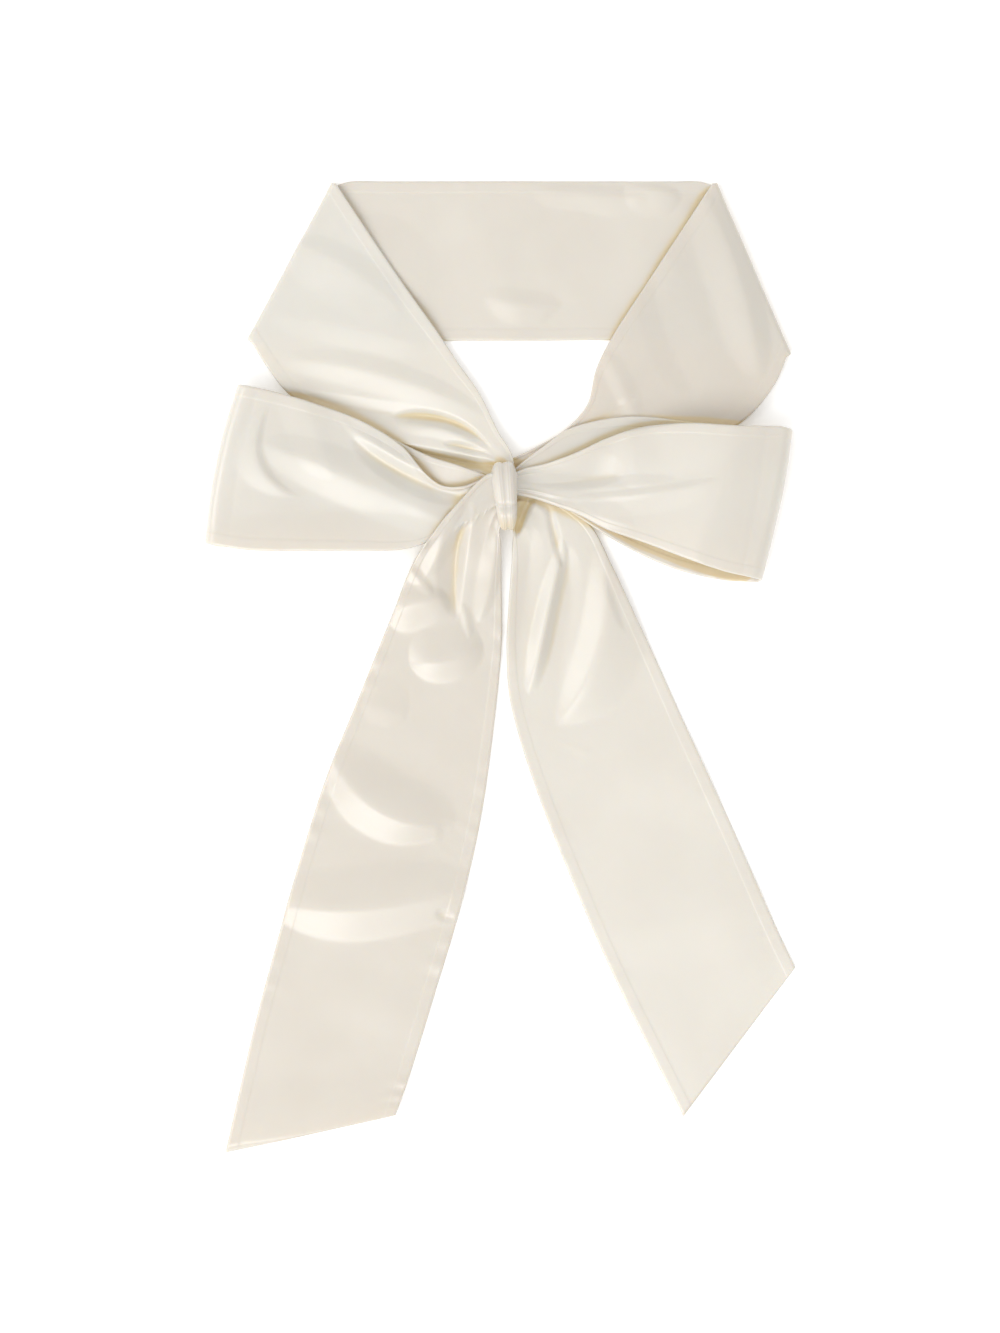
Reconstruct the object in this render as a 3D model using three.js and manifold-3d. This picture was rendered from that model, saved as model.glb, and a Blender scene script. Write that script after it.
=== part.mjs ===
// A skinny satin scarf: one long strip of doubled cloth, tied in a bow and laid flat.
// Millimetres, +Z up. Seen from above: the neck band is at +Y, the two tails end at -Y.
//
// Each length of the strip is a table of sections. A section is the straight line across the
// strip from its left edge to its right edge. The surface runs smoothly through the sections,
// ridges and valleys of the folds are added to it, and it is then given the cloth's thickness.
import * as THREE from "three";
import Module from "manifold-3d";

const STRIP_WIDTH = 65; // the flat strip, seam edge to seam edge
const WALL = 1.2; // two layers of satin, pressed
const PACKED_WALL = 1.9; // the same cloth where it is gathered into the knot
const CLEARANCE = 0.3; // between two pieces that touch on the real scarf
const KNOT_CLEARANCE = 0.35; // between the knot and each length that goes into it
const ACROSS = 14; // facets from edge to edge
const ROLL_STEPS = 4; // facets round a folded end
const END_BOW = { left: 2.4, right: 1.0 }; // how far the middle of a loop's end bows outwards
const BOW_REACH = 34; // the bow fades out this far from the end
const PLEATS = 5; // gathers that run out of the knot
const PLEAT_HEIGHT = 0.75; // the tallest gather, beside the knot
const PLEAT_VALLEY = 1.4; // above 1 the gathers are round on top and narrow in the valleys
const FADE_FROM = 0.15; // a fold starts and ends this far along the half wave it fades by
const HEIGHT_CELL = 2.5; // cell of the grid that keeps how high the laid pieces stand
const HEIGHT_REACH = 1; // cells by which a laid piece also counts beyond its edge
const HEIGHT_SAMPLES = 4; // points looked at along each side of a facet
const KEY_ROW = 4096; // cells that one row of the grid can hold

// Names the columns of a short table.
const table = (names, rows) =>
  rows.map((row) => Object.fromEntries(names.map((name, i) => [name, row[i]])));

const SECTION = ["leftX", "leftY", "leftZ", "rightX", "rightY", "rightZ"];
const FOLD = ["fromX", "fromY", "toX", "toY", "bow", "width", "height"];

// ---- the neck band: left arm out of the knot, back of the neck, right arm into the knot ----
const leftArm = table(SECTION, [
  [6.5, 82.5, 6.0, -0.5, 76.0, 6.0],
  [4.9, 89.2, 6.0, -5.0, 79.0, 6.0],
  [-0.7, 98.4, 4.9, -16.0, 82.0, 5.2],
  [-8.0, 113.5, 4.0, -31.5, 85.5, 5.0],
  [-17.2, 126.7, 3.6, -51.0, 94.0, 4.2],
  [-26.0, 140.0, 3.6, -72.0, 104.5, 3.6],
  [-38.5, 157.5, 3.8, -88.0, 113.5, 3.6],
  [-52.5, 178.0, 3.8, -98.0, 125.9, 3.8],
  [-68.5, 202.0, 3.8, -104.2, 135.8, 3.8],
]);
const backOfNeck = table(SECTION, [
  [-68.5, 202.0, 0.6, -104.2, 135.8, 0.6],
  [-62.0, 203.5, 0.6, -90.0, 136.5, 0.6],
  [-48.0, 203.5, 0.6, -65.0, 136.5, 0.6],
  [-25.0, 203.5, 0.6, -31.5, 136.5, 0.6],
  [13.0, 203.5, 0.6, 13.0, 136.5, 0.6],
  [50.5, 203.5, 0.6, 55.5, 136.5, 0.6],
  [71.5, 203.5, 0.6, 86.5, 134.0, 0.6],
  [83.5, 203.5, 0.6, 108.0, 132.5, 0.6],
  [89.0, 202.0, 0.6, 120.4, 129.8, 0.6],
]);
const rightArm = table(SECTION, [
  [89.0, 202.0, 3.8, 120.4, 129.8, 3.8],
  [72.5, 177.0, 3.8, 115.0, 117.6, 3.8],
  [60.0, 158.0, 3.8, 103.2, 103.4, 3.6],
  [48.0, 139.5, 3.6, 89.0, 96.0, 3.6],
  [40.4, 124.5, 3.6, 72.5, 92.5, 3.8],
  [36.8, 109.8, 3.8, 54.0, 89.0, 4.2],
  [27.5, 99.2, 4.6, 34.5, 84.5, 4.8],
  [14.0, 91.2, 4.0, 17.5, 80.0, 4.0],
  [5.0, 87.0, 2.6, 6.5, 76.5, 2.6],
]);
const bandFolds = table(FOLD, [
  [-74.5, 118.0, -8.0, 102.0, -2.5, 3.2, 2.0],
  [-48.5, 102.0, -5.5, 90.0, -1.7, 2.4, -1.6],
  [-65.0, 178.5, -31.5, 135.0, 0.0, 6.0, 0.6],
  [77.5, 179.0, 102.5, 141.5, -4.2, 6.0, 0.9],
  [65.5, 123.5, 25.5, 95.0, 0.0, 3.2, 1.4],
]);

// ---- the bow's two loops: a front layer out of the knot, its end, and the back layer ----
const leftLoopFront = table(SECTION, [
  [2.5, 77.5, 11.0, 3.0, 69.0, 10.6],
  [-5.5, 78.5, 11.0, -3.5, 66.5, 10.4],
  [-15.5, 75.0, 11.2, -13.0, 60.5, 10.0],
  [-24.5, 75.5, 12.0, -22.5, 56.5, 9.2],
  [-31.5, 81.0, 13.0, -31.5, 51.0, 8.5],
  [-41.0, 92.0, 13.5, -42.0, 48.3, 9.0],
  [-58.0, 102.5, 14.0, -59.5, 47.9, 9.5],
  [-77.5, 109.6, 13.5, -82.5, 47.8, 10.0],
  [-93.5, 114.3, 12.4, -104.0, 48.2, 10.5],
  [-104.2, 116.6, 12.0, -118.3, 50.2, 10.5],
]);
const leftLoopBack = table(SECTION, [
  [-104.2, 116.6, 2.6, -118.3, 50.2, 1.6],
  [-89.0, 113.0, 4.2, -100.0, 49.3, 1.6],
  [-73.5, 107.5, 5.6, -79.0, 48.5, 1.6],
  [-54.5, 100.5, 6.8, -56.5, 49.5, 2.0],
  [-39.5, 92.5, 8.0, -42.0, 52.0, 3.5],
  [-28.5, 87.5, 8.2, -30.0, 55.5, 5.0],
  [-17.5, 84.0, 8.0, -18.5, 60.5, 6.4],
  [-6.5, 80.0, 8.0, -5.0, 67.5, 7.4],
  [2.5, 76.5, 8.0, 3.0, 69.0, 7.6],
]);
const leftLoopFolds = table(FOLD, [
  [-90.5, 95.0, -16.0, 64.0, 8.0, 4.0, 2.4],
  [-65.0, 103.0, -12.5, 70.0, -2.1, 3.2, 1.8],
  [-56.0, 90.0, -25.0, 71.5, -1.3, 2.8, -1.4],
  [-79.0, 103.5, -63.0, 82.5, 0.0, 5.0, -1.0],
  [-84.0, 61.5, -33.5, 55.0, 0.0, 6.0, -0.9],
]);
const rightLoopFront = table(SECTION, [
  [3.5, 79.0, 11.0, 3.5, 71.5, 11.0],
  [10.5, 82.5, 11.0, 13.0, 70.0, 11.0],
  [19.0, 84.5, 11.8, 22.5, 67.0, 10.6],
  [31.5, 89.0, 13.0, 33.0, 63.0, 10.5],
  [44.5, 95.0, 13.5, 44.5, 57.0, 10.5],
  [60.0, 100.0, 14.0, 60.0, 51.4, 10.5],
  [80.0, 101.0, 13.5, 76.5, 45.2, 10.5],
  [100.0, 99.8, 12.4, 93.5, 39.4, 10.5],
  [117.0, 99.8, 12.0, 104.0, 37.0, 10.5],
]);
const rightLoopBack = table(SECTION, [
  [117.0, 99.8, 2.6, 104.0, 35.4, 1.6],
  [99.0, 100.2, 4.4, 92.0, 36.3, 1.6],
  [79.0, 102.4, 5.8, 75.0, 40.2, 1.6],
  [58.0, 104.5, 6.6, 59.0, 46.8, 2.2],
  [42.0, 103.0, 7.8, 44.0, 55.0, 5.5],
  [27.5, 98.5, 8.2, 31.5, 63.0, 6.6],
  [18.5, 92.0, 8.0, 22.0, 68.5, 7.6],
  [10.5, 86.0, 8.0, 13.0, 72.5, 8.0],
  [3.5, 80.0, 8.0, 3.5, 72.5, 8.0],
]);
const rightLoopFolds = table(FOLD, [
  [10.5, 85.0, 59.0, 100.0, -1.7, 2.6, -1.4],
  [14.5, 79.0, 72.5, 94.5, -2.1, 3.4, 1.5],
  [15.5, 76.0, 65.5, 84.0, 1.7, 2.8, -1.4],
  [15.5, 71.0, 84.0, 86.0, 3.4, 3.6, 1.8],
  [25.5, 63.0, 103.0, 56.5, -2.5, 6.0, -1.0],
]);

// ---- the two tails, from the knot down to their slanted ends ----
const leftTail = table(SECTION, [
  [1.5, 79.0, 13.2, 3.0, 60.0, 9.4],
  [-5.0, 80.0, 13.2, 0.0, 57.0, 9.4],
  [-15.5, 70.0, 13.4, 0.5, 52.0, 8.6],
  [-26.0, 58.0, 12.4, 1.2, 44.5, 6.6],
  [-35.8, 44.0, 7.0, 1.8, 32.0, 4.0],
  [-45.2, 21.5, 3.0, 1.6, 9.0, 1.6],
  [-60.0, -15.0, 1.4, -3.0, -30.0, 1.0],
  [-73.0, -47.0, 1.0, -8.0, -64.5, 0.8],
  [-84.0, -81.5, 0.8, -16.0, -100.0, 0.8],
  [-94.5, -119.0, 0.8, -27.0, -137.0, 0.8],
  [-104.0, -155.0, 0.8, -37.0, -169.5, 0.8],
  [-115.0, -204.0, 0.8, -43.5, -188.0, 0.8],
]);
const leftTailFolds = table(FOLD, [
  [-9.0, 70.0, -18.5, 21.5, 5.0, 3.6, -1.8],
  [-5.0, 51.0, -8.0, 17.5, 0.0, 4.0, 1.4],
  [-21.5, 57.5, -40.0, 18.0, -3.4, 4.0, 1.5],
  [-35.0, 3.5, -9.0, -0.5, 5.0, 4.0, 1.5],
  [-65.5, -40.0, -26.5, -71.0, 8.4, 5.0, 1.6],
  [-88.0, -101.5, -19.0, -105.5, 7.6, 5.0, 1.3],
]);
const rightTail = table(SECTION, [
  [3.5, 60.5, 5.0, 7.0, 72.0, 5.0],
  [5.0, 57.0, 5.0, 14.5, 73.0, 5.0],
  [4.5, 50.5, 4.5, 28.0, 67.0, 4.5],
  [4.0, 42.5, 3.5, 38.5, 58.5, 3.5],
  [2.9, 28.0, 2.5, 46.5, 43.5, 2.2],
  [2.4, 7.0, 1.6, 54.5, 26.5, 1.4],
  [4.5, -16.0, 1.0, 65.0, 4.0, 1.0],
  [14.5, -50.0, 0.8, 78.5, -26.0, 0.8],
  [31.0, -92.0, 0.8, 96.0, -64.0, 0.8],
  [49.5, -134.0, 0.8, 114.0, -105.0, 0.8],
  [77.0, -189.0, 0.8, 124.0, -126.5, 0.8],
]);
const rightTailFolds = table(FOLD, [
  [24.0, 47.0, 5.0, -8.0, 0.0, 3.6, 1.8],
  [29.0, 44.0, 13.5, -14.0, -2.1, 3.6, -1.5],
  [43.0, 44.5, 22.5, -24.0, -5.9, 5.0, 2.0],
  [59.0, -10.0, 76.0, -52.0, 0.0, 6.0, 0.7],
]);

// ---- the knot: the strip wrapped once round the middle of the bow ----
const KNOT = {
  centreX: 2.4, centreY: 70.9, centreZ: 9.6,
  halfWidth: 5.6, // along X, which is the wrap's own width
  halfLength: 14.4, // along Y
  halfHeight: 8.8, // along Z
  endHalf: 0.64, // its half size at either side, as a share of that in the middle
  ribs: 3, ribDepth: 0.9, // gathers that run round it
  taper: 0.28, // how much narrower it is at its lower end
  stations: 13, around: 20, // facets along X and round it
};
const knotPoint = { x: KNOT.centreX, y: KNOT.centreY };
const GATHER_REACH = 62; // the gathers fade out this far from the knot

// Runs a smooth curve through the rows, column by column, at near-even steps of their length.
function alongRows(rows, step) {
  const at = [0];
  for (let i = 1; i < rows.length; i++) {
    const a = rows[i - 1];
    const b = rows[i];
    const dx = (b.leftX + b.rightX - a.leftX - a.rightX) / 2;
    const dy = (b.leftY + b.rightY - a.leftY - a.rightY) / 2;
    at.push(at[i - 1] + Math.hypot(dx, dy));
  }
  const last = rows.length - 1;
  const slope = (i, name) => {
    const before = Math.max(i - 1, 0);
    const after = Math.min(i + 1, last);
    return (rows[after][name] - rows[before][name]) / (at[after] - at[before]);
  };
  const count = Math.round(at[last] / step);
  const sections = [];
  for (let k = 0; k <= count; k++) {
    const s = (at[last] * k) / count;
    let i = 0;
    while (i < last - 1 && s > at[i + 1]) i++;
    const span = at[i + 1] - at[i];
    const f = (s - at[i]) / span;
    const section = {};
    for (const name of SECTION) {
      section[name] =
        rows[i][name] * (1 + 2 * f) * (1 - f) ** 2 +
        rows[i + 1][name] * f * f * (3 - 2 * f) +
        slope(i, name) * span * f * (1 - f) ** 2 -
        slope(i + 1, name) * span * f * f * (1 - f);
    }
    sections.push(section);
  }
  return sections;
}

// Joins two layers of a folded end with half a turn, which bulges away from the layers.
function foldedEnd(before, first, second) {
  const acrossX = first.rightX - first.leftX;
  const acrossY = first.rightY - first.leftY;
  const length = Math.hypot(acrossX, acrossY);
  let outX = acrossY / length;
  let outY = -acrossX / length;
  const travelX = first.leftX + first.rightX - before.leftX - before.rightX;
  const travelY = first.leftY + first.rightY - before.leftY - before.rightY;
  if (outX * travelX + outY * travelY < 0) {
    outX = -outX;
    outY = -outY;
  }
  const sections = [];
  for (let k = 1; k < ROLL_STEPS; k++) {
    const angle = (Math.PI * k) / ROLL_STEPS;
    const section = {};
    for (const side of ["left", "right"]) {
      const middle = (name) => (first[side + name] + second[side + name]) / 2;
      const half = (name) => (first[side + name] - second[side + name]) / 2;
      const bulge = Math.abs(half("Z")) * Math.sin(angle);
      section[side + "X"] = middle("X") + half("X") * Math.cos(angle) + outX * bulge;
      section[side + "Y"] = middle("Y") + half("Y") * Math.cos(angle) + outY * bulge;
      section[side + "Z"] = middle("Z") + half("Z") * Math.cos(angle);
    }
    sections.push(section);
  }
  return sections;
}

// Marks the sections of a loop near its folded end with how far their middles bow outwards.
function bowedEnd(front, end, back, bow) {
  const tip = front[front.length - 1];
  const acrossX = tip.rightX - tip.leftX;
  const acrossY = tip.rightY - tip.leftY;
  const length = Math.hypot(acrossX, acrossY);
  const outward = Math.sign(tip.leftX);
  const place = (section) => (section.leftX + section.rightX) / 2;
  for (const section of [...front, ...end, ...back]) {
    const inside = Math.max((place(tip) - place(section)) * outward, 0);
    const share = bow * Math.max(1 - inside / BOW_REACH, 0) ** 2;
    section.bowX = (Math.abs(acrossY) / length) * outward * share;
    section.bowY = (-acrossX * Math.sign(acrossY) / length) * outward * share;
  }
}

// How far one fold lifts the cloth at a point seen from above.
function foldLift(fold, x, y) {
  const dx = fold.toX - fold.fromX;
  const dy = fold.toY - fold.fromY;
  const length = Math.hypot(dx, dy);
  const along = ((x - fold.fromX) * dx + (y - fold.fromY) * dy) / (length * length);
  const aside = ((x - fold.fromX) * dy - (y - fold.fromY) * dx) / length;
  const t = Math.min(Math.max(along, 0), 1);
  const off = aside - fold.bow * 4 * t * (1 - t);
  const past = (along - t) * length;
  const wave = FADE_FROM + (1 - 2 * FADE_FROM) * along;
  const fade = Math.sin(Math.PI * Math.min(Math.max(wave, 0), 1));
  return fold.height * Math.max(fade, 0) * Math.exp(-(off * off + past * past) / fold.width ** 2);
}

// The grid that keeps the height of everything laid so far.
const heights = new Map();
const cellOf = (x, y) => [Math.floor(x / HEIGHT_CELL), Math.floor(y / HEIGHT_CELL)];
function heightAt(x, y) {
  const [i, j] = cellOf(x, y);
  return heights.get(i * KEY_ROW + j) ?? -1;
}
function raiseHeights(grid) {
  for (let i = 1; i < grid.length; i++) {
    for (let j = 1; j < grid[i].length; j++) {
      for (let a = 0; a <= 1; a += 1 / HEIGHT_SAMPLES) {
        for (let b = 0; b <= 1; b += 1 / HEIGHT_SAMPLES) {
          const mix = (axis) =>
            (grid[i - 1][j - 1][axis] * (1 - a) + grid[i][j - 1][axis] * a) * (1 - b) +
            (grid[i - 1][j][axis] * (1 - a) + grid[i][j][axis] * a) * b;
          const [ci, cj] = cellOf(mix("x"), mix("y"));
          const z = mix("z");
          for (let di = -HEIGHT_REACH; di <= HEIGHT_REACH; di++) {
            for (let dj = -HEIGHT_REACH; dj <= HEIGHT_REACH; dj++) {
              const key = (ci + di) * KEY_ROW + cj + dj;
              if (z > (heights.get(key) ?? -1)) heights.set(key, z);
            }
          }
        }
      }
    }
  }
}

// Gives a run of sections its folds and its thickness. Returns the two faces as grids of points.
function cloth(sections, folds, side, facets = ACROSS) {
  const upper = [];
  const lower = [];
  sections.forEach((section, i) => {
    const left = new THREE.Vector3(section.leftX, section.leftY, section.leftZ);
    const right = new THREE.Vector3(section.rightX, section.rightY, section.rightZ);
    const before = sections[Math.max(i - 1, 0)];
    const after = sections[Math.min(i + 1, sections.length - 1)];
    const travel = new THREE.Vector3(
      after.leftX + after.rightX - before.leftX - before.rightX,
      after.leftY + after.rightY - before.leftY - before.rightY,
      after.leftZ + after.rightZ - before.leftZ - before.rightZ,
    );
    const across = right.clone().sub(left);
    const normal = travel.cross(across).normalize().multiplyScalar(side);
    const crowding = STRIP_WIDTH / across.length();
    const wall = Math.min(Math.max(WALL * crowding, WALL), PACKED_WALL);
    const up = [];
    const down = [];
    for (let j = 0; j <= facets; j++) {
      const v = j / facets;
      const point = left.clone().lerp(right, v);
      const arch = 4 * v * (1 - v);
      point.x += arch * (section.bowX ?? 0);
      point.y += arch * (section.bowY ?? 0);
      const away = Math.hypot(point.x - knotPoint.x, point.y - knotPoint.y);
      const gather = Math.max(1 - away / GATHER_REACH, 0) * PLEAT_HEIGHT;
      const facing = Math.max(normal.z, 0);
      const pleat = 1 - 2 * Math.abs(Math.sin(Math.PI * PLEATS * v)) ** PLEAT_VALLEY;
      let lift = gather * facing * pleat;
      for (const fold of folds) lift += facing * foldLift(fold, point.x, point.y);
      point.addScaledVector(normal, lift);
      up.push(point.clone().addScaledVector(normal, wall / 2));
      down.push(point.clone().addScaledVector(normal, -wall / 2));
    }
    upper.push(up);
    lower.push(down);
  });
  return { upper, lower };
}

// Lays a length over what lies under it: any point that would be inside is raised clear.
function lay({ upper, lower }) {
  for (let i = 0; i < upper.length; i++) {
    for (let j = 0; j < upper[i].length; j++) {
      const a = upper[i][j];
      const b = lower[i][j];
      const low = a.z < b.z ? a : b;
      const floor = Math.max(heightAt(low.x, low.y) + CLEARANCE, 0);
      const raise = Math.max(floor - low.z, 0);
      a.z += raise;
      b.z += raise;
    }
  }
  return { upper, lower };
}

// Closes two faces into one solid: the faces, the two seam edges and the two ends.
function closed({ upper, lower }) {
  const rows = upper.length;
  const columns = upper[0].length;
  const positions = [];
  for (const face of [upper, lower]) for (const row of face) for (const p of row) positions.push(p.x, p.y, p.z);
  const index = [];
  const id = (face, i, j) => (face * rows + i) * columns + j;
  const quad = (a, b, c, d) => index.push(a, b, c, a, c, d);
  for (let i = 0; i + 1 < rows; i++) {
    for (let j = 0; j + 1 < columns; j++) {
      quad(id(0, i, j), id(0, i, j + 1), id(0, i + 1, j + 1), id(0, i + 1, j));
      quad(id(1, i, j), id(1, i + 1, j), id(1, i + 1, j + 1), id(1, i, j + 1));
    }
    quad(id(0, i, 0), id(0, i + 1, 0), id(1, i + 1, 0), id(1, i, 0));
    quad(id(0, i, columns - 1), id(1, i, columns - 1), id(1, i + 1, columns - 1), id(0, i + 1, columns - 1));
  }
  for (let j = 0; j + 1 < columns; j++) {
    quad(id(0, 0, j), id(1, 0, j), id(1, 0, j + 1), id(0, 0, j + 1));
    quad(id(0, rows - 1, j), id(0, rows - 1, j + 1), id(1, rows - 1, j + 1), id(1, rows - 1, j));
  }
  return solidFrom(positions, index);
}

const wasm = await Module();
wasm.setup();

function signedVolume(positions, index) {
  let sum = 0;
  const p = (k) => new THREE.Vector3().fromArray(positions, index[k] * 3);
  for (let k = 0; k < index.length; k += 3) sum += p(k).dot(p(k + 1).cross(p(k + 2)));
  return sum / 6;
}

function solidFrom(positions, index) {
  if (signedVolume(positions, index) < 0) {
    for (let k = 0; k < index.length; k += 3) [index[k], index[k + 1]] = [index[k + 1], index[k]];
  }
  const mesh = new wasm.Mesh({
    numProp: 3,
    vertProperties: new Float32Array(positions),
    triVerts: new Uint32Array(index),
  });
  return new wasm.Manifold(mesh);
}

// The knot is a barrel that lies along X: rings round the X axis, with grooves between its ribs.
// Grown by a clearance it has no grooves, and is the space that the lengths of the strip keep out of.
function knotSolid(grow) {
  const positions = [];
  const index = [];
  const { stations, around } = KNOT;
  for (let i = 0; i < stations; i++) {
    const s = -1 + (2 * i) / (stations - 1);
    const barrel = Math.sqrt(1 - (1 - KNOT.endHalf ** 2) * s ** 4);
    const groove = grow > 0 ? 0 : 1 - Math.abs(Math.sin((Math.PI * KNOT.ribs * (s + 1)) / 2));
    const size = barrel - (KNOT.ribDepth / KNOT.halfHeight) * groove;
    for (let k = 0; k < around; k++) {
      const angle = (2 * Math.PI * k) / around;
      const narrow = 1 - (KNOT.taper * (1 - Math.cos(angle))) / 2;
      positions.push(
        KNOT.centreX + s * (KNOT.halfWidth * narrow + grow),
        KNOT.centreY + Math.cos(angle) * (KNOT.halfLength * size + grow),
        KNOT.centreZ + Math.sin(angle) * (KNOT.halfHeight * size + grow),
      );
      if (i + 1 < stations) {
        const a = i * around + k;
        const b = i * around + ((k + 1) % around);
        index.push(a, b, b + around, a, b + around, a + around);
      }
    }
  }
  for (const i of [0, stations - 1]) {
    const centre = positions.length / 3;
    const s = i === 0 ? -1 : 1;
    positions.push(KNOT.centreX + s * (KNOT.halfWidth * (1 - KNOT.taper / 2) + grow), KNOT.centreY, KNOT.centreZ);
    for (let k = 0; k < around; k++) {
      const a = i * around + k;
      const b = i * around + ((k + 1) % around);
      if (i === 0) index.push(centre, b, a);
      else index.push(centre, a, b);
    }
  }
  return solidFrom(positions, index);
}

// The largest body of a solid that a cut has left in several.
function largest(solid) {
  return solid.decompose().sort((a, b) => b.volume() - a.volume())[0];
}

// Cuts a length off clear of the knot and keeps the part outside it.
const keepOut = knotSolid(KNOT_CLEARANCE);
const clearOfKnot = (solid) => largest(solid.subtract(keepOut));

// Thins a lower length where an upper one that lies on it would touch it.
function thinned(lower, upper) {
  if (lower.intersect(upper).volume() === 0) return lower;
  return largest(lower.subtract(upper.add(upper.translate([0, 0, -CLEARANCE]))));
}

function meshOf(name, solid, colour, roughness) {
  const out = solid.getMesh();
  const geometry = new THREE.BufferGeometry();
  const points = [];
  for (let i = 0; i < out.vertProperties.length; i += out.numProp) {
    points.push(out.vertProperties[i], out.vertProperties[i + 1], out.vertProperties[i + 2]);
  }
  geometry.setAttribute("position", new THREE.Float32BufferAttribute(points, 3));
  geometry.setIndex(Array.from(out.triVerts));
  geometry.computeVertexNormals();
  const mesh = new THREE.Mesh(
    geometry,
    new THREE.MeshStandardMaterial({ color: colour, roughness, metalness: 0 }),
  );
  mesh.name = name;
  return mesh;
}

// ---- laid in the order in which they lie: band, right tail, loops, left tail, knot ----
const ORIGIN_SHIFT = [-0.1, 0.2, 0]; // puts the origin under the middle of the scarf
const SATIN_ROUGHNESS = 0.4;
const LONG_STEP = 10; // length of a facet along a plain length
const LOOP_STEP = 7.5; // length of a facet along a loop's layer
const BAND_ACROSS = 10; // facets from edge to edge of the neck band

function layer(sections, folds, side) {
  const faces = lay(cloth(sections, folds, side));
  raiseHeights(faces.upper);
  raiseHeights(faces.lower);
  return faces;
}

function bandSolid() {
  const left = alongRows(leftArm, LONG_STEP);
  const back = alongRows(backOfNeck, LONG_STEP);
  const right = alongRows(rightArm.slice().reverse(), LONG_STEP).reverse();
  const ending = (run) => [run[run.length - 2], run[run.length - 1]];
  const leftCrease = foldedEnd(...ending(left), back[0]);
  const rightCrease = foldedEnd(right[1], right[0], back[back.length - 1]).reverse();
  const sections = [...left, ...leftCrease, ...back, ...rightCrease, ...right];
  const faces = cloth(sections, bandFolds, 1, BAND_ACROSS);
  raiseHeights(faces.upper);
  return closed(faces);
}

function loopSolid(front, back, folds, side, bow) {
  const frontRun = alongRows(front, LOOP_STEP);
  const backRun = alongRows(back, LOOP_STEP);
  const end = foldedEnd(frontRun[frontRun.length - 2], frontRun[frontRun.length - 1], backRun[0]);
  bowedEnd(frontRun, end, backRun, bow);
  const faces = cloth([...frontRun, ...end, ...backRun], folds, side);
  const split = frontRun.length + end.length;
  const backFaces = { upper: faces.upper.slice(split), lower: faces.lower.slice(split) };
  lay(backFaces);
  raiseHeights(backFaces.lower);
  const frontFaces = { upper: faces.upper.slice(0, frontRun.length), lower: faces.lower.slice(0, frontRun.length) };
  lay(frontFaces);
  raiseHeights(frontFaces.upper);
  return closed(faces);
}

const group = new THREE.Group();
group.name = "skinny_scarf";
const band = clearOfKnot(bandSolid());
const tailRight = clearOfKnot(closed(layer(alongRows(rightTail, LONG_STEP), rightTailFolds, 1)));
const loopLeft = clearOfKnot(loopSolid(leftLoopFront, leftLoopBack, leftLoopFolds, 1, END_BOW.left));
const loopRight = clearOfKnot(loopSolid(rightLoopFront, rightLoopBack, rightLoopFolds, -1, END_BOW.right));
const tailLeft = clearOfKnot(closed(layer(alongRows(leftTail, LONG_STEP), leftTailFolds, 1)));
const pieces = [
  ["neck_band", thinned(thinned(band, loopLeft), loopRight), 0xe2dbd0],
  ["tail_right", thinned(thinned(tailRight, loopRight), tailLeft), 0xe8e2d6],
  ["bow_loop_left", thinned(loopLeft, tailLeft), 0xe8e0d2],
  ["bow_loop_right", loopRight, 0xece7da],
  ["tail_left", tailLeft, 0xe8e0d4],
  ["knot", knotSolid(0), 0xe4d9c4],
];
for (const [name, solid, colour] of pieces) {
  group.add(meshOf(name, solid.translate(ORIGIN_SHIFT), colour, SATIN_ROUGHNESS));
}

export default group;
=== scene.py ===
# %% [markdown]
# # A satin skinny scarf, tied in a bow and laid flat
# The real scarf is a single strip: two layers of satin sewn along their edges, turned inside out
# and pressed, about 65 mm wide and 1.5 m long. It is worn round the neck and tied in a bow. Here
# it lies on a table, seen from straight above. This script starts from the plain solids of its
# six lengths and gives each one its cloth: folds, gathers, seams, and the shine of satin.

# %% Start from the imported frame
import math

import bpy
import numpy as np
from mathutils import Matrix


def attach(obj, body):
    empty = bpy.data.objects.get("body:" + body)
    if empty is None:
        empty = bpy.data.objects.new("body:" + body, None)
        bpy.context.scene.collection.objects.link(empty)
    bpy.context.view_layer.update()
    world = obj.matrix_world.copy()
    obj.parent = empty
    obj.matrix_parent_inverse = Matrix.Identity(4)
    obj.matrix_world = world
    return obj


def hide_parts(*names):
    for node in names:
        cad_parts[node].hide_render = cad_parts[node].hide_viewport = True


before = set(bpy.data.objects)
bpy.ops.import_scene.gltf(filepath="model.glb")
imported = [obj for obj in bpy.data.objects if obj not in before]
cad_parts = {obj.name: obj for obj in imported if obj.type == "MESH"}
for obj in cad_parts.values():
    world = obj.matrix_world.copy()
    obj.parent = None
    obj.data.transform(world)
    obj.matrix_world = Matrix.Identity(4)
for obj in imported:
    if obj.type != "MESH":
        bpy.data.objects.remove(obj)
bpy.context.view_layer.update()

# %% [markdown]
# ## Sizes
# Lengths are worked out in millimetres, as a dressmaker would, and turned into metres when a mesh
# is made. The seam allowance is the turned-in edge of the cloth. It lies inside the strip, and
# shows as a slightly raised border along both sides.

# %% Sizes of the strip
MM = 0.001  # one millimetre, in metres
STRIP_WIDTH = 65.0  # the flat strip, edge to edge
WALL = 1.0  # two layers of satin with air between them
SEAM_ALLOWANCE = 4.2  # turned-in cloth along both edges
SEAM_EDGE = 0.5  # width of the step where the turned-in cloth ends
SEAM_EXTRA = 0.10  # how much it thickens the strip on each side
ORIGIN_SHIFT = np.array([-0.1, 0.2, 0.0])  # puts the origin under the middle of the scarf
ALONG_STEP = 1.0  # one mesh row for each millimetre along the strip
BACK_STEP = 1.6  # the plain back of the neck needs fewer
TURN_STEP = 0.45  # and a folded end needs more
ACROSS = 84  # mesh columns from edge to edge

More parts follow.
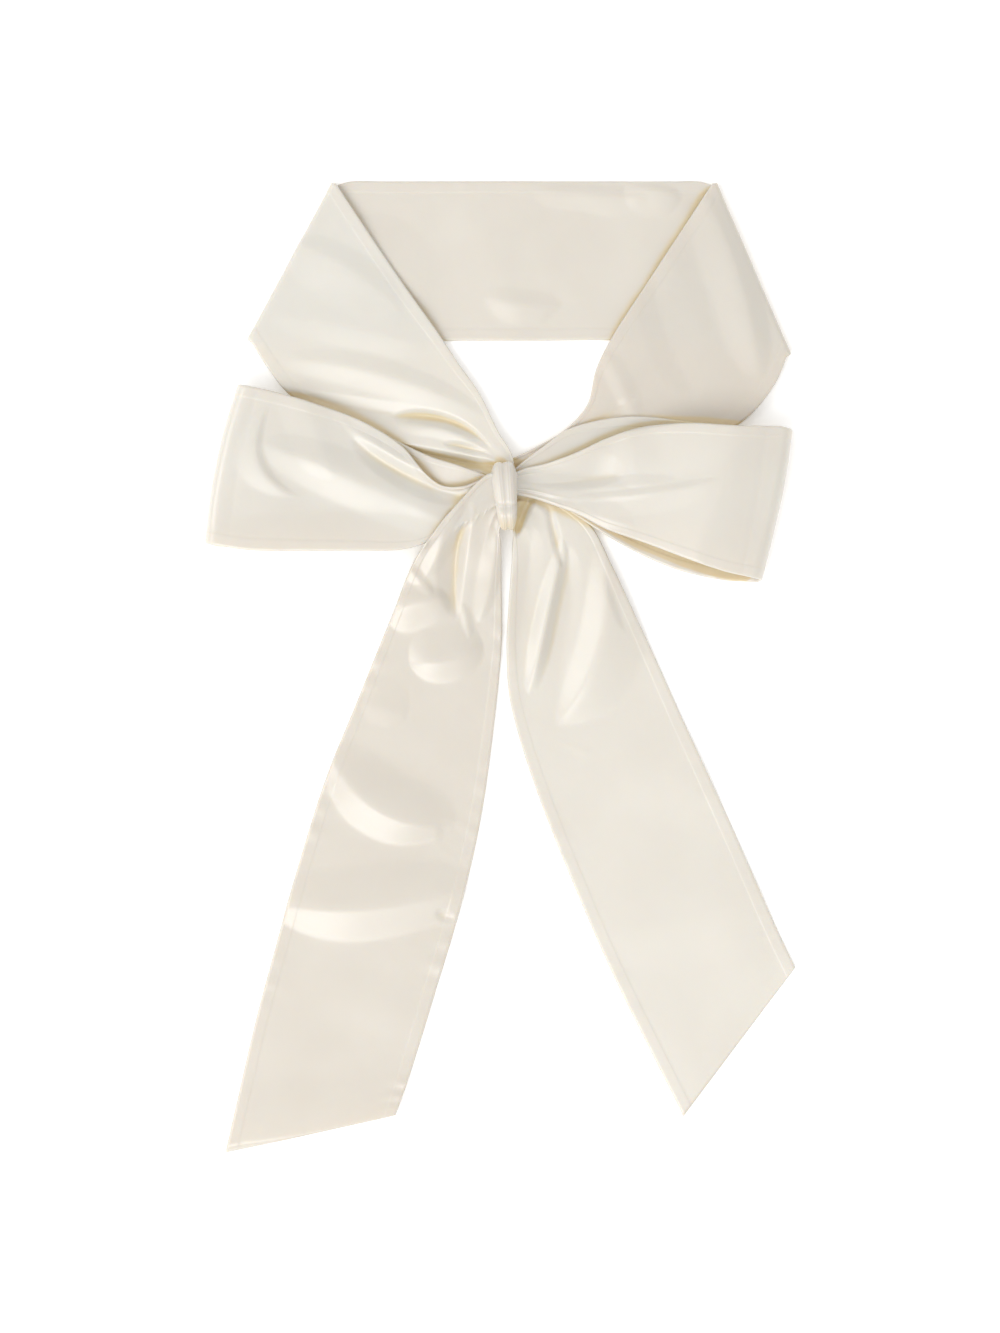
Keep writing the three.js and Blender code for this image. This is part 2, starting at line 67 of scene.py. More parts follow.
# %% Sizes of the bow
BOW_REACH = 34.0  # the bow of a loop's end fades out this far from it
PRESSED_BACK = 4.6  # a pressed crease lies this far inside a loop's end
PRESSED_WIDTH = 1.0  # how wide the crease is, and how deep
PRESSED_DEPTH = 0.15
KNOT_CENTRE = np.array([2.4, 70.9, 9.6])
KNOT_HALF = np.array([5.6, 14.4, 8.8])  # half its width, length and height
KNOT_END = 0.64  # its half size at either side, as a share of that in the middle
KNOT_TAPER = 0.28  # how much narrower it is at its lower end
KNOT_LEAN = 0.7  # how far its upper end lies to the left of its middle
KNOT_CORDS = 2  # cords of gathered cloth, side by side
KNOT_CORD_FULL = 0.7  # the smaller this is, the fuller the cords and the sharper the grooves
KNOT_GROOVE = 0.045  # depth of the grooves beside them, as a share of the knot's half size
KNOT_TWIST = 0.10  # how far the cords wander sideways, as a share of its half width
KNOT_TWIST_TURN = 0.5  # where round the knot they do, as an angle in radians
KNOT_FINE = 0.005  # height of the fine ribs in the cords
KNOT_FINE_RIBS = 9
KNOT_FINE_SLANT = 1.5  # how far the ribs swing sideways on their way round
KNOT_LIP = 0.2  # depth of the crease above the lip, where the wrap turns under
KNOT_LIP_TURN = 0.634  # where the crease lies, in half turns from the knot's upper end
KNOT_LIP_WIDTH = 0.12  # its width, as an angle in radians
KNOT_RADIUS = 12.0  # about its mean radius, which turns an angle into a length of cloth
KNOT_STATIONS = 72  # rings of its mesh, and points in each ring
KNOT_AROUND = 200

# %% Satin
# the painted sheen and the dye's mottle mix the colour between these two ivories
IVORY = (0.70, 0.668, 0.607, 1.0)
IVORY_DEEP = (0.612, 0.565, 0.498, 1.0)
PAINTED_FOLD_TAN = (0.68, 0.555, 0.32, 1.0)  # painted shade: the tan of ivory seen by light that has bounced in a fold
PAINTED_FOLD_SHADE = 0.8  # how much of that painted shade a deep fold takes on
HOLLOW_STARTS = 0.15  # millimetres deep where the painted shade sets in, and where it is full
HOLLOW_FULL = 1.35
HOLLOW_CELLS = 2  # how many cells to each side a point is compared with, taken twice
BRIGHT_RUN = math.radians(135)  # direction of a strip whose ivory is painted lightest, about square to the light
PAINTED_SHEEN_SHARE = 0.75  # how much painted sheen the direction of a strip adds to the ivory
MOTTLE_SHARE = 0.5  # and how much the slow unevenness of the dye does
MOTTLE_SCALE = 34.0  # patches of it in a metre
MOTTLE_DETAIL = 3.0
THREADS_PER_METRE = 4200.0
SLUBS_PER_METRE = 160.0
THREAD_DETAIL = 2.0
THREAD_BUMP = 0.12  # strength of the threads' bump, and their height in metres
THREAD_HEIGHT = 0.04 * MM
SEAM_BUMP = 0.6
SATIN_ROUGHNESS = 0.34
SATIN_SPECULAR = 1.0
SATIN_ANISOTROPY = 0.6
SHEEN_WEIGHT = 0.20
SHEEN_ROUGHNESS = 0.4
SUBSURFACE_WEIGHT = 0.3  # light that enters the cloth and comes out close by
SUBSURFACE_RADIUS = (1.0, 0.7, 0.4)  # how far red, green and blue travel in it
SUBSURFACE_SCALE = 3 * MM
# painted sheen of the knot, the same all over
KNOT_PAINTED_SHEEN = 0.6
KNOT_LIP_Y = 62.0  # below this the knot is tucked in and is painted with the shade of a fold
KNOT_SHADE = 0.8  # how deep it counts as, in millimetres
KNOT_SHADE_SOFT = 7.0  # over how many millimetres this sets in

# %% Table and light
TABLE_WHITE = (0.97, 0.97, 0.97, 1.0)
TABLE_SIZE = 60.0  # metres, so that its far edge never shows
TABLE_ROUGHNESS = 0.9
TABLE_SPECULAR = 0.1
TABLE_GLOW = 0.2  # the photograph's white surface shows almost no shadow
GLOW_WHITE = (1.0, 1.0, 1.0, 1.0)
WORLD_WHITE = (1.0, 0.99, 0.975, 1.0)
WORLD_STRENGTH = 0.84
SOFTBOX_PLACE = (-0.9, -1.5, 2.05)
SOFTBOX_SIZE = 1.6
SOFTBOX_POWER = 28.0
SIDE_PLACE = (-2.0, 0.2, 1.5)
SIDE_SIZE = 1.2
SIDE_POWER = 12.5

# %% [markdown]
# ## The strip as a table of sections
# A section is the straight line across the strip, from its left edge to its right edge. Each row
# gives the two ends of one section: left x, y, z, then right x, y, z. A smooth curve runs through
# the rows. The strip narrows where it is gathered into the knot, and turns over where it folds.

# %% Sections of the neck band
LEFT_ARM = [
    [6.5, 82.5, 6.0, -0.5, 76.0, 6.0],
    [4.9, 89.2, 6.0, -5.0, 79.0, 6.0],
    [-0.7, 98.4, 4.9, -16.0, 82.0, 5.2],
    [-8.0, 113.5, 4.0, -31.5, 85.5, 5.0],
    [-17.2, 126.7, 3.6, -51.0, 94.0, 4.2],
    [-26.0, 140.0, 3.6, -72.0, 104.5, 3.6],
    [-38.5, 157.5, 3.8, -88.0, 113.5, 3.6],
    [-52.5, 178.0, 3.8, -98.0, 125.9, 3.8],
    [-68.5, 202.0, 3.8, -104.2, 135.8, 3.8],
]
BACK_OF_NECK = [
    [-68.5, 202.0, 0.6, -104.2, 135.8, 0.6],
    [-62.0, 203.5, 0.6, -90.0, 136.5, 0.6],
    [-48.0, 203.5, 0.6, -65.0, 136.5, 0.6],
    [-25.0, 203.5, 0.6, -31.5, 136.5, 0.6],
    [13.0, 203.5, 0.6, 13.0, 136.5, 0.6],
    [50.5, 203.5, 0.6, 55.5, 136.5, 0.6],
    [71.5, 203.5, 0.6, 86.5, 134.0, 0.6],
    [83.5, 203.5, 0.6, 108.0, 132.5, 0.6],
    [89.0, 202.0, 0.6, 120.4, 129.8, 0.6],
]
RIGHT_ARM = [
    [89.0, 202.0, 3.8, 120.4, 129.8, 3.8],
    [72.5, 177.0, 3.8, 115.0, 117.6, 3.8],
    [60.0, 158.0, 3.8, 103.2, 103.4, 3.6],
    [48.0, 139.5, 3.6, 89.0, 96.0, 3.6],
    [40.4, 124.5, 3.6, 72.5, 92.5, 3.8],
    [36.8, 109.8, 3.8, 54.0, 89.0, 4.2],
    [27.5, 99.2, 4.6, 34.5, 84.5, 4.8],
    [14.0, 91.2, 4.0, 17.5, 80.0, 4.0],
    [5.0, 87.0, 2.6, 6.5, 76.5, 2.6],
]

# %% Sections of the two loops
LOOP_LEFT_FRONT = [
    [2.5, 77.5, 11.0, 3.0, 69.0, 10.6],
    [-5.5, 78.5, 11.0, -3.5, 66.5, 10.4],
    [-15.5, 75.0, 10.8, -13.0, 60.5, 10.0],
    [-24.5, 75.5, 10.4, -22.5, 56.5, 9.2],
    [-31.5, 81.0, 9.6, -31.5, 51.0, 8.5],
    [-41.0, 92.0, 8.6, -42.0, 48.3, 8.4],
    [-58.0, 102.5, 8.2, -59.5, 47.9, 8.8],
    [-77.5, 109.6, 8.8, -82.5, 47.8, 9.4],
    [-93.5, 114.3, 10.6, -104.0, 48.2, 10.2],
    [-104.2, 116.6, 12.0, -118.3, 50.2, 10.5],
]
LOOP_LEFT_BACK = [
    [-104.2, 116.6, 2.6, -118.3, 50.2, 1.6],
    [-89.0, 113.0, 4.0, -100.0, 49.3, 1.6],
    [-73.5, 107.5, 5.2, -79.0, 48.5, 1.6],
    [-54.5, 100.5, 5.6, -56.5, 49.5, 2.0],
    [-39.5, 92.5, 5.8, -42.0, 52.0, 3.5],
    [-28.5, 87.5, 6.6, -30.0, 55.5, 5.0],
    [-17.5, 84.0, 8.0, -18.5, 60.5, 6.4],
    [-6.5, 80.0, 8.0, -5.0, 67.5, 7.4],
    [2.5, 76.5, 8.0, 3.0, 69.0, 7.6],
]
LOOP_RIGHT_FRONT = [
    [3.5, 79.0, 9.6, 3.5, 71.5, 9.4],
    [10.5, 82.5, 9.2, 13.0, 70.0, 8.8],
    [19.0, 84.5, 9.2, 22.5, 67.0, 8.4],
    [31.5, 89.0, 8.8, 33.0, 63.0, 7.8],
    [44.5, 95.0, 7.8, 44.5, 57.0, 7.4],
    [60.0, 100.0, 7.4, 60.0, 51.4, 7.2],
    [80.0, 101.0, 8.0, 76.5, 45.2, 7.8],
    [100.0, 99.8, 10.2, 93.5, 39.4, 9.4],
    [117.0, 99.8, 12.0, 104.0, 37.0, 10.5],
]
LOOP_RIGHT_BACK = [
    [117.0, 99.8, 2.6, 104.0, 35.4, 1.6],
    [99.0, 100.2, 4.2, 92.0, 36.3, 1.6],
    [79.0, 102.4, 5.4, 75.0, 40.2, 1.6],
    [58.0, 104.5, 5.4, 59.0, 46.8, 2.2],
    [42.0, 103.0, 5.8, 44.0, 55.0, 4.4],
    [27.5, 98.5, 6.8, 31.5, 63.0, 5.4],
    [18.5, 92.0, 6.8, 22.0, 68.5, 6.2],
    [10.5, 86.0, 6.8, 13.0, 72.5, 6.8],
    [3.5, 80.0, 7.0, 3.5, 72.5, 7.0],
]

# %% Sections of the two tails
TAIL_LEFT = [
    [1.5, 79.0, 13.2, 3.0, 60.0, 9.4],
    [-5.0, 80.0, 13.2, 0.0, 57.0, 9.4],
    [-15.5, 70.0, 13.4, 0.4, 52.0, 7.2],
    [-26.0, 58.0, 12.4, 0.7, 44.5, 4.4],
    [-35.8, 44.0, 7.0, 0.8, 32.0, 2.4],
    [-45.2, 21.5, 2.6, 0.8, 9.0, 1.4],
    [-60.0, -15.0, 1.4, -3.0, -30.0, 1.0],
    [-73.0, -47.0, 1.0, -8.0, -64.5, 0.8],
    [-84.0, -81.5, 0.8, -16.0, -100.0, 0.8],
    [-94.5, -119.0, 0.8, -27.0, -137.0, 0.8],
    [-104.0, -155.0, 0.8, -37.0, -169.5, 0.8],
    [-115.0, -204.0, 0.8, -43.5, -188.0, 0.8],
]
TAIL_RIGHT = [
    [3.5, 60.5, 5.0, 7.0, 72.0, 5.0],
    [5.4, 57.0, 4.4, 14.5, 73.0, 5.0],
    [5.2, 50.5, 3.2, 28.0, 67.0, 4.5],
    [4.9, 42.5, 2.4, 38.5, 58.5, 3.3],
    [3.8, 28.0, 1.8, 46.5, 43.5, 2.0],
    [2.8, 7.0, 1.4, 54.5, 26.5, 1.3],
    [4.5, -16.0, 1.0, 65.0, 4.0, 1.0],
    [14.5, -50.0, 0.8, 78.5, -26.0, 0.8],
    [31.0, -92.0, 0.8, 96.0, -64.0, 0.8],
    [49.5, -134.0, 0.8, 114.0, -105.0, 0.8],
    [77.0, -189.0, 0.8, 124.0, -126.5, 0.8],
]

# %% [markdown]
# ## The folds
# Each row is one fold, seen as a roof: where its crest starts, where it ends, how far the crest
# bows to the right of its travel, its height, and the widths of its right and its left face. A
# negative height is a valley. Flat faces matter here. Satin shows every face of a fold as one
# even patch, light or dark, with a crisp line along the crest.

# %% Folds of the neck band, in millimetres
BAND_FOLDS = [
    [-95.0, 115.0, -22.0, 103.5, 1.5, -1.9, 8.0, 5.0],
    [-46.0, 104.5, -3.5, 91.0, -6.0, -2.6, 4.5, 2.4],
    [-44.0, 100.5, -6.0, 93.5, -1.5, 1.2, 4.0, 4.0],
    [-24.0, 93.2, -4.0, 88.5, -0.6, -1.6, 2.4, 2.0],
    [-44.0, 92.5, 4.0, 83.0, 1.0, -3.8, 4.0, 2.6],
    [-92.0, 129.0, -6.0, 104.0, -5.0, 2.0, 9.0, 7.0],
    [-96.0, 146.0, -30.0, 132.0, -3.0, 1.0, 9.0, 14.0],
    [-90.0, 178.0, -40.0, 146.0, -4.0, 1.8, 16.0, 9.0],
    [84.0, 200.0, 109.0, 120.0, -3.5, 3.0, 14.0, 9.0],
    [62.0, 172.0, 82.0, 112.0, 3.0, -1.2, 10.0, 14.0],
    [44.0, 132.0, 58.0, 102.0, 0.0, 1.0, 5.0, 6.0],
    [58.0, 113.0, 14.0, 87.0, 0.0, -0.9, 4.0, 4.0],
]
BACK_FOLDS = [
    [14.0, 199.0, 62.0, 196.0, 0.0, 1.5, 9.0, 5.0],
    [52.0, 201.0, 76.0, 197.0, 0.0, 1.8, 11.0, 4.0],
    [-6.0, 155.0, 26.0, 151.0, 2.0, 1.6, 9.0, 7.0],
    [18.0, 146.0, 48.0, 143.0, 0.0, -0.8, 4.0, 9.0],
    [-60.0, 188.0, -30.0, 150.0, 0.0, 1.2, 10.0, 18.0],
    [-20.0, 196.0, 10.0, 138.0, -3.0, 0.8, 26.0, 14.0],
]

# %% Folds of the bow's loops
LOOP_LEFT_FOLDS = [
    [-100.0, 93.0, -16.0, 57.0, -1.5, 3.2, 12.5, 11.0],
    [-62.0, 95.0, -8.0, 69.0, 4.5, -2.4, 6.0, 5.0],
    [-66.0, 102.0, -14.0, 73.0, 2.0, 1.0, 4.0, 3.0],
    [-86.0, 124.0, -70.0, 78.0, 0.0, 1.6, 12.0, 15.0],
    [-97.0, 108.0, -84.0, 70.0, 11.0, 1.5, 9.0, 3.0],
    [-135.0, 46.0, -8.0, 47.0, 0.0, 4.0, 3.0, 18.0],
]
LOOP_RIGHT_FOLDS = [
    [6.0, 77.5, 52.0, 80.0, 1.4, -1.8, 4.5, 13.0],
    [12.0, 74.5, 74.0, 77.0, 1.5, 1.2, 6.0, 5.0],
    [30.0, 70.0, 92.0, 77.0, 2.0, 1.2, 9.0, 3.0],
    [108.0, 118.0, 72.0, 24.0, 0.0, 8.8, 48.0, 34.0],
    [12.0, 88.0, 112.0, 103.0, -3.0, 2.6, 21.0, 3.0],
    [54.0, 100.0, 57.0, 74.0, 0.0, 1.0, 9.0, 13.0],
    [40.0, 48.0, 124.0, 28.0, 0.0, 2.6, 3.0, 32.0],
    [18.0, 70.0, 56.0, 58.0, 0.0, 0.9, 4.0, 8.0],
]

# %% Folds of the tails
TAIL_LEFT_FOLDS = [
    [-12.0, 68.0, -18.5, 20.0, 3.0, -3.6, 8.0, 4.0],
    [-14.0, 68.0, -32.0, 36.0, 0.0, 1.5, 5.0, 5.0],
    [-2.0, 58.0, -9.0, 18.0, -2.0, 1.6, 6.0, 4.0],
    [-39.0, 42.0, -28.0, 30.0, 0.0, 1.1, 3.6, 2.6],
    [-47.0, 20.0, -21.0, 28.0, -3.0, 3.4, 12.0, 7.0],
    [-15.5, 26.0, -12.5, 12.0, 0.0, 0.9, 2.5, 3.0],
    [-38.0, 1.5, -7.0, 9.0, 2.5, 3.6, 10.0, 15.0],
    [-58.0, -15.0, -39.0, -21.0, 0.0, 0.9, 8.0, 14.0],
    [-72.0, -36.0, -20.0, -68.0, 9.5, 4.0, 12.0, 19.0],
    [-26.0, -66.0, -8.0, -76.0, 2.0, -1.0, 7.0, 6.0],
    [-97.0, -100.0, -10.0, -92.0, 5.0, 4.2, 14.0, 18.0],
    [-27.0, -103.0, -19.0, -107.0, 0.0, -0.9, 2.6, 2.6],
    [-150.0, -206.0, -5.0, -186.0, 0.0, 3.8, 4.0, 24.0],
]
TAIL_RIGHT_FOLDS = [
    [26.5, 53.0, 12.0, -12.0, -0.6, 3.4, 5.5, 5.5],
    [29.0, 50.0, 16.5, -16.0, -0.8, -1.8, 4.5, 9.0],
    [43.5, 51.0, 24.0, -26.0, -9.2, 4.6, 10.5, 19.0],
    [15.0, 74.0, 6.5, 54.0, 0.6, -3.4, 3.4, 2.4],
    [14.0, 58.0, 7.0, 2.0, 0.0, -1.0, 6.0, 7.0],
    [6.5, 62.0, 2.5, -8.0, 1.0, 1.7, 1.5, 9.0],
    [20.0, 68.0, 26.5, 41.0, 0.0, -1.4, 2.5, 2.5],
    [44.0, 40.0, 53.0, 14.0, 0.0, -0.8, 3.0, 6.0],
    [6.0, 10.0, 38.0, -76.0, -2.0, -1.2, 14.0, 24.0],
    [18.0, -29.0, 40.0, -38.0, 0.0, 0.7, 7.0, 6.0],
    [50.0, -40.0, 96.0, -62.0, -4.0, 1.0, 20.0, 24.0],
    [40.0, -110.0, 118.0, -96.0, 4.0, 1.0, 22.0, 26.0],
]

# %% [markdown]
# ## From a table to a run of sections
# The curve through the rows is a cubic between each pair, with the slope at a row taken from its
# two neighbours. A folded end is half a turn: the strip leaves one layer, bulges outward as a
# half circle whose width is the gap between the layers, and comes back as the other layer.


# %% Curves through the sections
def sections_along(rows, step=ALONG_STEP):
    """Smooth curve through the rows, sampled at even steps. Returns (count, 2 ends, xyz)."""
    ends = np.array(rows, float).reshape(-1, 2, 3)
    middle = ends.mean(axis=1)[:, :2]
    at = np.concatenate([[0.0], np.cumsum(np.linalg.norm(np.diff(middle, axis=0), axis=1))])
    index = np.arange(len(at))
    after = np.minimum(index + 1, len(at) - 1)
    before = np.maximum(index - 1, 0)
    slope = (ends[after] - ends[before]) / (at[after] - at[before])[:, None, None]
    place = np.linspace(0.0, at[-1], round(at[-1] / step) + 1)
    i = np.clip(np.searchsorted(at, place, side="right") - 1, 0, len(at) - 2)
    span = (at[i + 1] - at[i])[:, None, None]
    f = (place - at[i])[:, None, None] / span
    return (
        ends[i] * (1 + 2 * f) * (1 - f) ** 2
        + ends[i + 1] * f**2 * (3 - 2 * f)
        + slope[i] * span * f * (1 - f) ** 2
        - slope[i + 1] * span * f**2 * (1 - f)
    )


def unit(vectors):
    """Vectors divided by their own length."""
    return vectors / np.linalg.norm(vectors, axis=-1, keepdims=True)


def outward_of(before, last):
    """Unit vector in plan, square to a section and pointing on along the strip."""
    across = (last[1] - last[0])[:2]
    out = unit(np.array([across[1], -across[0]]))
    return out * np.sign(out @ (last - before).mean(axis=0)[:2])


def half_turn(before, first, second):
    """The sections of a folded end: a half circle from the last section of one layer to the
    first of the next, bulging away from both by half the height between them."""
    out = outward_of(before, first)
    middle = (first + second) / 2
    half = (first - second) / 2
    radius = np.abs(half[:, 2])
    count = round(math.pi * radius.max() / TURN_STEP)
    angle = np.linspace(0.0, math.pi, count + 2)[1:-1, None, None]
    turned = middle + half * np.cos(angle)
    turned[:, :, :2] += out * radius[:, None] * np.sin(angle)
    return turned


# %% [markdown]
# ## Folds, gathers and wrinkles
# A fold has the profile of a roof with a rounded crest and soft feet, and runs out to nothing at
# both ends. Gathers are many: a sewn strip drawn into a knot closes up like a fan, with narrow
# ridges and rounded valleys between them. Wrinkles are the long low waves that pressed satin
# always keeps, and puckers are where the stitching has drawn up the edge.

# %% Lift of the cloth
CREST_ROUND = 0.16  # how round a fold's crest is, as a share of its width
FOOT_ROUND = 0.12  # and its feet
FOLD_KEEP = 2.5  # the larger this is, the longer a fold keeps its height towards its ends
FOLD_LEAST = 0.001  # its share at the very ends, kept above zero to divide by
FAN_BEND = 0.05  # how far gathers wander across the strip, as a share of its width
FAN_WAVES = 1.3
RIPPLE = 0.015  # and how far they wander from side to side along it
RIPPLE_LENGTH = 9.0  # in millimetres, over two pi
RIDGE_WIDTH = 1.3  # the larger this is, the wider the ridges between the gathers
UNEVEN = 0.4  # how much higher and lower than the mean they are
UNEVEN_WAVES = 1.7
GATHER_FADE = 1.5  # the larger this is, the sooner gathers fade
WRINKLES = 9  # waves in the sum
WRINKLE_LENGTHS = (26, 70)
WRINKLE_HEIGHT = 0.22
PUCKER = 0.12  # height of the puckers along a well-sewn seam, and along a drawn-up one
PUCKER_DRAWN_UP = 0.35
PUCKER_LENGTH = 11.0  # one pucker, and the distance over which puckers come and go
PUCKER_SWELL = 67.0
PUCKER_BORDER = 5.0  # how far they reach in from the edge


def roof(t):
    """Profile of a fold: one at its crest, falling along even faces to nothing at t = 1."""
    face = 1 - np.sqrt(t**2 + CREST_ROUND**2)
    return (face + np.sqrt(face**2 + FOOT_ROUND**2)) / 2 / (1 - CREST_ROUND)


def fold_lift(folds, x, y):
    """Sum of all the ridges and valleys at the points (x, y), in millimetres."""
    lift = np.zeros_like(x)
    for from_x, from_y, to_x, to_y, bow, height, right, left in folds:
        travel = np.array([to_x - from_x, to_y - from_y])
        length = np.linalg.norm(travel)
        along = ((x - from_x) * travel[0] + (y - from_y) * travel[1]) / length**2
        aside = ((x - from_x) * travel[1] - (y - from_y) * travel[0]) / length
        inside = np.clip(along, 0, 1)
        size = np.maximum(1 - np.abs(2 * inside - 1) ** FOLD_KEEP, FOLD_LEAST)
        off = aside - bow * 4 * inside * (1 - inside)
        past = (along - inside) * length
        width = np.where(off > 0, right, left) * np.sqrt(size)
        lift += height * size * roof(np.hypot(off, past) / width)
    return lift


def gather_lift(v, away, pleats, height, reach, seed):
    """Pleats across the strip, bent and made uneven by slow sines. They are highest at the knot
    and fade to nothing at the reach."""
    wave = np.random.default_rng(seed).uniform(0, 2 * np.pi, 4)
    fan = v + FAN_BEND * np.sin(2 * np.pi * FAN_WAVES * v + wave[0])
    fan = fan + RIPPLE * np.sin(away / RIPPLE_LENGTH + wave[2])
    ridge = 1 - 2 * np.abs(np.sin(np.pi * pleats * fan)) ** RIDGE_WIDTH
    uneven = 1 + UNEVEN * np.sin(2 * np.pi * UNEVEN_WAVES * v + wave[3])
    return height * uneven * ridge * np.clip(1 - away / reach, 0, 1) ** GATHER_FADE


def wrinkle_lift(u, s, seed):
    """Long low waves of pressed cloth: a sum of slow sines in random directions."""
    pick = np.random.default_rng(seed)
    lift = np.zeros_like(u)
    for _ in range(WRINKLES):
        length = pick.uniform(*WRINKLE_LENGTHS)
        angle = pick.uniform(0, np.pi)
        phase = pick.uniform(0, 2 * np.pi)
        lift += np.sin(2 * np.pi * (u * np.cos(angle) + s * np.sin(angle)) / length + phase)
    return WRINKLE_HEIGHT * lift / math.sqrt(WRINKLES)


def seam_pucker(u, s, seed, height):
    """Small puckers along both seams: a short wave whose strength comes and goes."""
    phase = np.random.default_rng(seed).uniform(0, 2 * np.pi, 4)
    right = u > 0
    short = np.sin(2 * np.pi * s / PUCKER_LENGTH + np.where(right, phase[0], phase[1]))
    slow = np.sin(2 * np.pi * s / PUCKER_SWELL + np.where(right, phase[2], phase[3])).clip(0)
    from_edge = STRIP_WIDTH / 2 - np.abs(u)
    return height * short * slow * np.exp(-((from_edge / PUCKER_BORDER) ** 2))


# %% [markdown]
# ## Laying one length over another
# The pieces are laid in the order in which they lie on the table. A grid of one-millimetre cells
# keeps how high everything laid so far stands, with a cell to spare around it. A new piece that
# would pass through it is lifted clear, and the lift is spread into its surroundings, so that it
# drapes instead of stepping. A second grid keeps the plain mean height that is seen in each cell.

# %% Height grid of what has been laid
GRID_LOW = np.array([-140.0, -220.0])  # its corner at the lower left
GRID_CELLS = (280, 440)  # one millimetre each
EMPTY = -1.0  # the height of a cell in which nothing has been laid
LAY_GAP = 0.4  # air left between two lengths that touch
DRAPE_ROUNDS = 60  # how often a lift is spread into its surroundings
DRAPE_KEEP = 0.985  # how much of it is kept each time
laid = np.full(GRID_CELLS, EMPTY)
seen = np.zeros(GRID_CELLS)


def neighbours(field):
    """The four grids shifted by one cell up, down, left and right."""
    padded = np.pad(field, 1, mode="edge")
    return [padded[:-2, 1:-1], padded[2:, 1:-1], padded[1:-1, :-2], padded[1:-1, 2:]]


def mark_laid(points):
    """Raises both grids to these points: one to their top with a cell of room around it, the
    other to the mean of those in each cell."""
    between = (points[1:] + points[:-1]) / 2
    every = np.concatenate([points.reshape(-1, 3), between.reshape(-1, 3)])
    cell = np.floor(every[:, :2] - GRID_LOW).astype(int)
    fresh = np.full(GRID_CELLS, EMPTY)
    np.maximum.at(fresh, (cell[:, 0], cell[:, 1]), every[:, 2])
    np.maximum(laid, fresh, out=laid)
    np.maximum(laid, np.max(neighbours(fresh), axis=0), out=laid)
    place = cell[:, 0] * GRID_CELLS[1] + cell[:, 1]
    total = np.bincount(place, every[:, 2], laid.size)
    count = np.bincount(place, minlength=laid.size)
    np.maximum(seen, (total / np.maximum(count, 1)).reshape(GRID_CELLS), out=seen)


def laid_at(x, y, grid=laid):
    """Value of a grid at points between its cells' middles, mixed from the nearest four."""
    place = np.stack([x, y], axis=-1) - GRID_LOW - 0.5
    cell = np.floor(place).astype(int)
    f = place - cell
    i, j = cell[..., 0], cell[..., 1]
    low = grid[i, j] * (1 - f[..., 0]) + grid[i + 1, j] * f[..., 0]
    high = grid[i, j + 1] * (1 - f[..., 0]) + grid[i + 1, j + 1] * f[..., 0]
    return low * (1 - f[..., 1]) + high * f[..., 1]


def lay(middle):
    """Raises a grid of points, in place, clear of everything under it, and drapes it beside the
    contact: each round mixes a point's lift with its neighbours', but leaves it what it needs."""
    under = laid_at(middle[..., 0], middle[..., 1])
    floor = np.maximum(under + LAY_GAP, SEAM_EXTRA) + WALL / 2
    need = np.clip(floor - middle[..., 2], 0, None)
    lift = need
    for _ in range(DRAPE_ROUNDS):
        spread = lift / 2 + np.sum(neighbours(lift), axis=0) / 8
        lift = np.maximum(need, spread * DRAPE_KEEP)
    middle[..., 2] += lift


def mark_top(middle):
    """Marks the upper face of the cloth with this middle surface as laid."""
    mark_laid(middle + [0, 0, WALL / 2])


# %% [markdown]
# ## One length of cloth
# The middle surface of the strip is a grid: rows along the strip and columns across it. It is
# lifted by its folds along the strip's own normal, laid over what is under it, and then wrapped
# in its two faces. The edges are rounded like the turned edge of a sewn tie.


# %% Middle surface
def middle_surface(
    sections, side, folds, seed, pleats, gather, reach, bow=None, back_folds=(), pucker=PUCKER
):
    """Grid of the strip's middle surface, the unit normal of each row, and cloth coordinates.
    The side is -1 for a run whose left to right goes the other way round. Each row is bowed
    outwards in plan by its bow, as a parabola from edge to edge."""
    left = sections[:, 0]
    right = sections[:, 1]
    centre = (left + right) / 2
    normal = unit(np.cross(np.gradient(centre, axis=0), right - left) * side)
    v = np.linspace(0.0, 1.0, ACROSS + 1)
    inset = WALL / 2 / np.linalg.norm(right - left, axis=1)[:, None, None]
    share = inset + (1 - 2 * inset) * v[None, :, None]
    points = left[:, None] + (right - left)[:, None] * share
    if bow is not None:
        points[..., :2] += bow[:, None] * (4 * v * (1 - v))[None, :, None]
    steps = np.linalg.norm(np.diff(centre, axis=0), axis=1)
    along = np.concatenate([[0.0], np.cumsum(steps)])
    u_grid = np.broadcast_to((v - 0.5) * STRIP_WIDTH, points.shape[:2])
    s_grid = np.broadcast_to(along[:, None], points.shape[:2])
    x, y = points[..., 0], points[..., 1]
    away = np.hypot(x - KNOT_CENTRE[0], y - KNOT_CENTRE[1])
    facing = np.clip(normal[:, 2], 0, 1)[:, None]
    behind = np.clip(-normal[:, 2], 0, 1)[:, None]
    gathers = gather_lift(v[None, :], away, pleats, gather, reach, seed)
    lift = facing * (fold_lift(folds, x, y) + gathers)
    lift = lift - behind * fold_lift(back_folds, x, y)
    small = wrinkle_lift(u_grid, s_grid, seed + 1) + seam_pucker(u_grid, s_grid, seed + 2, pucker)
    lift = lift + normal[:, 2:] * small
    points = points + normal[:, None] * lift[..., None]
    return points, normal, np.stack([u_grid, s_grid], axis=-1)


# %% [markdown]
# ## The neck band
# The strip leaves the knot, runs up the left side, folds under along a slanted crease, crosses
# behind the neck, folds back over and comes down to the knot on the right. The two creases are
# pressed softly, so the strip turns there with a radius of about a millimetre and a half.

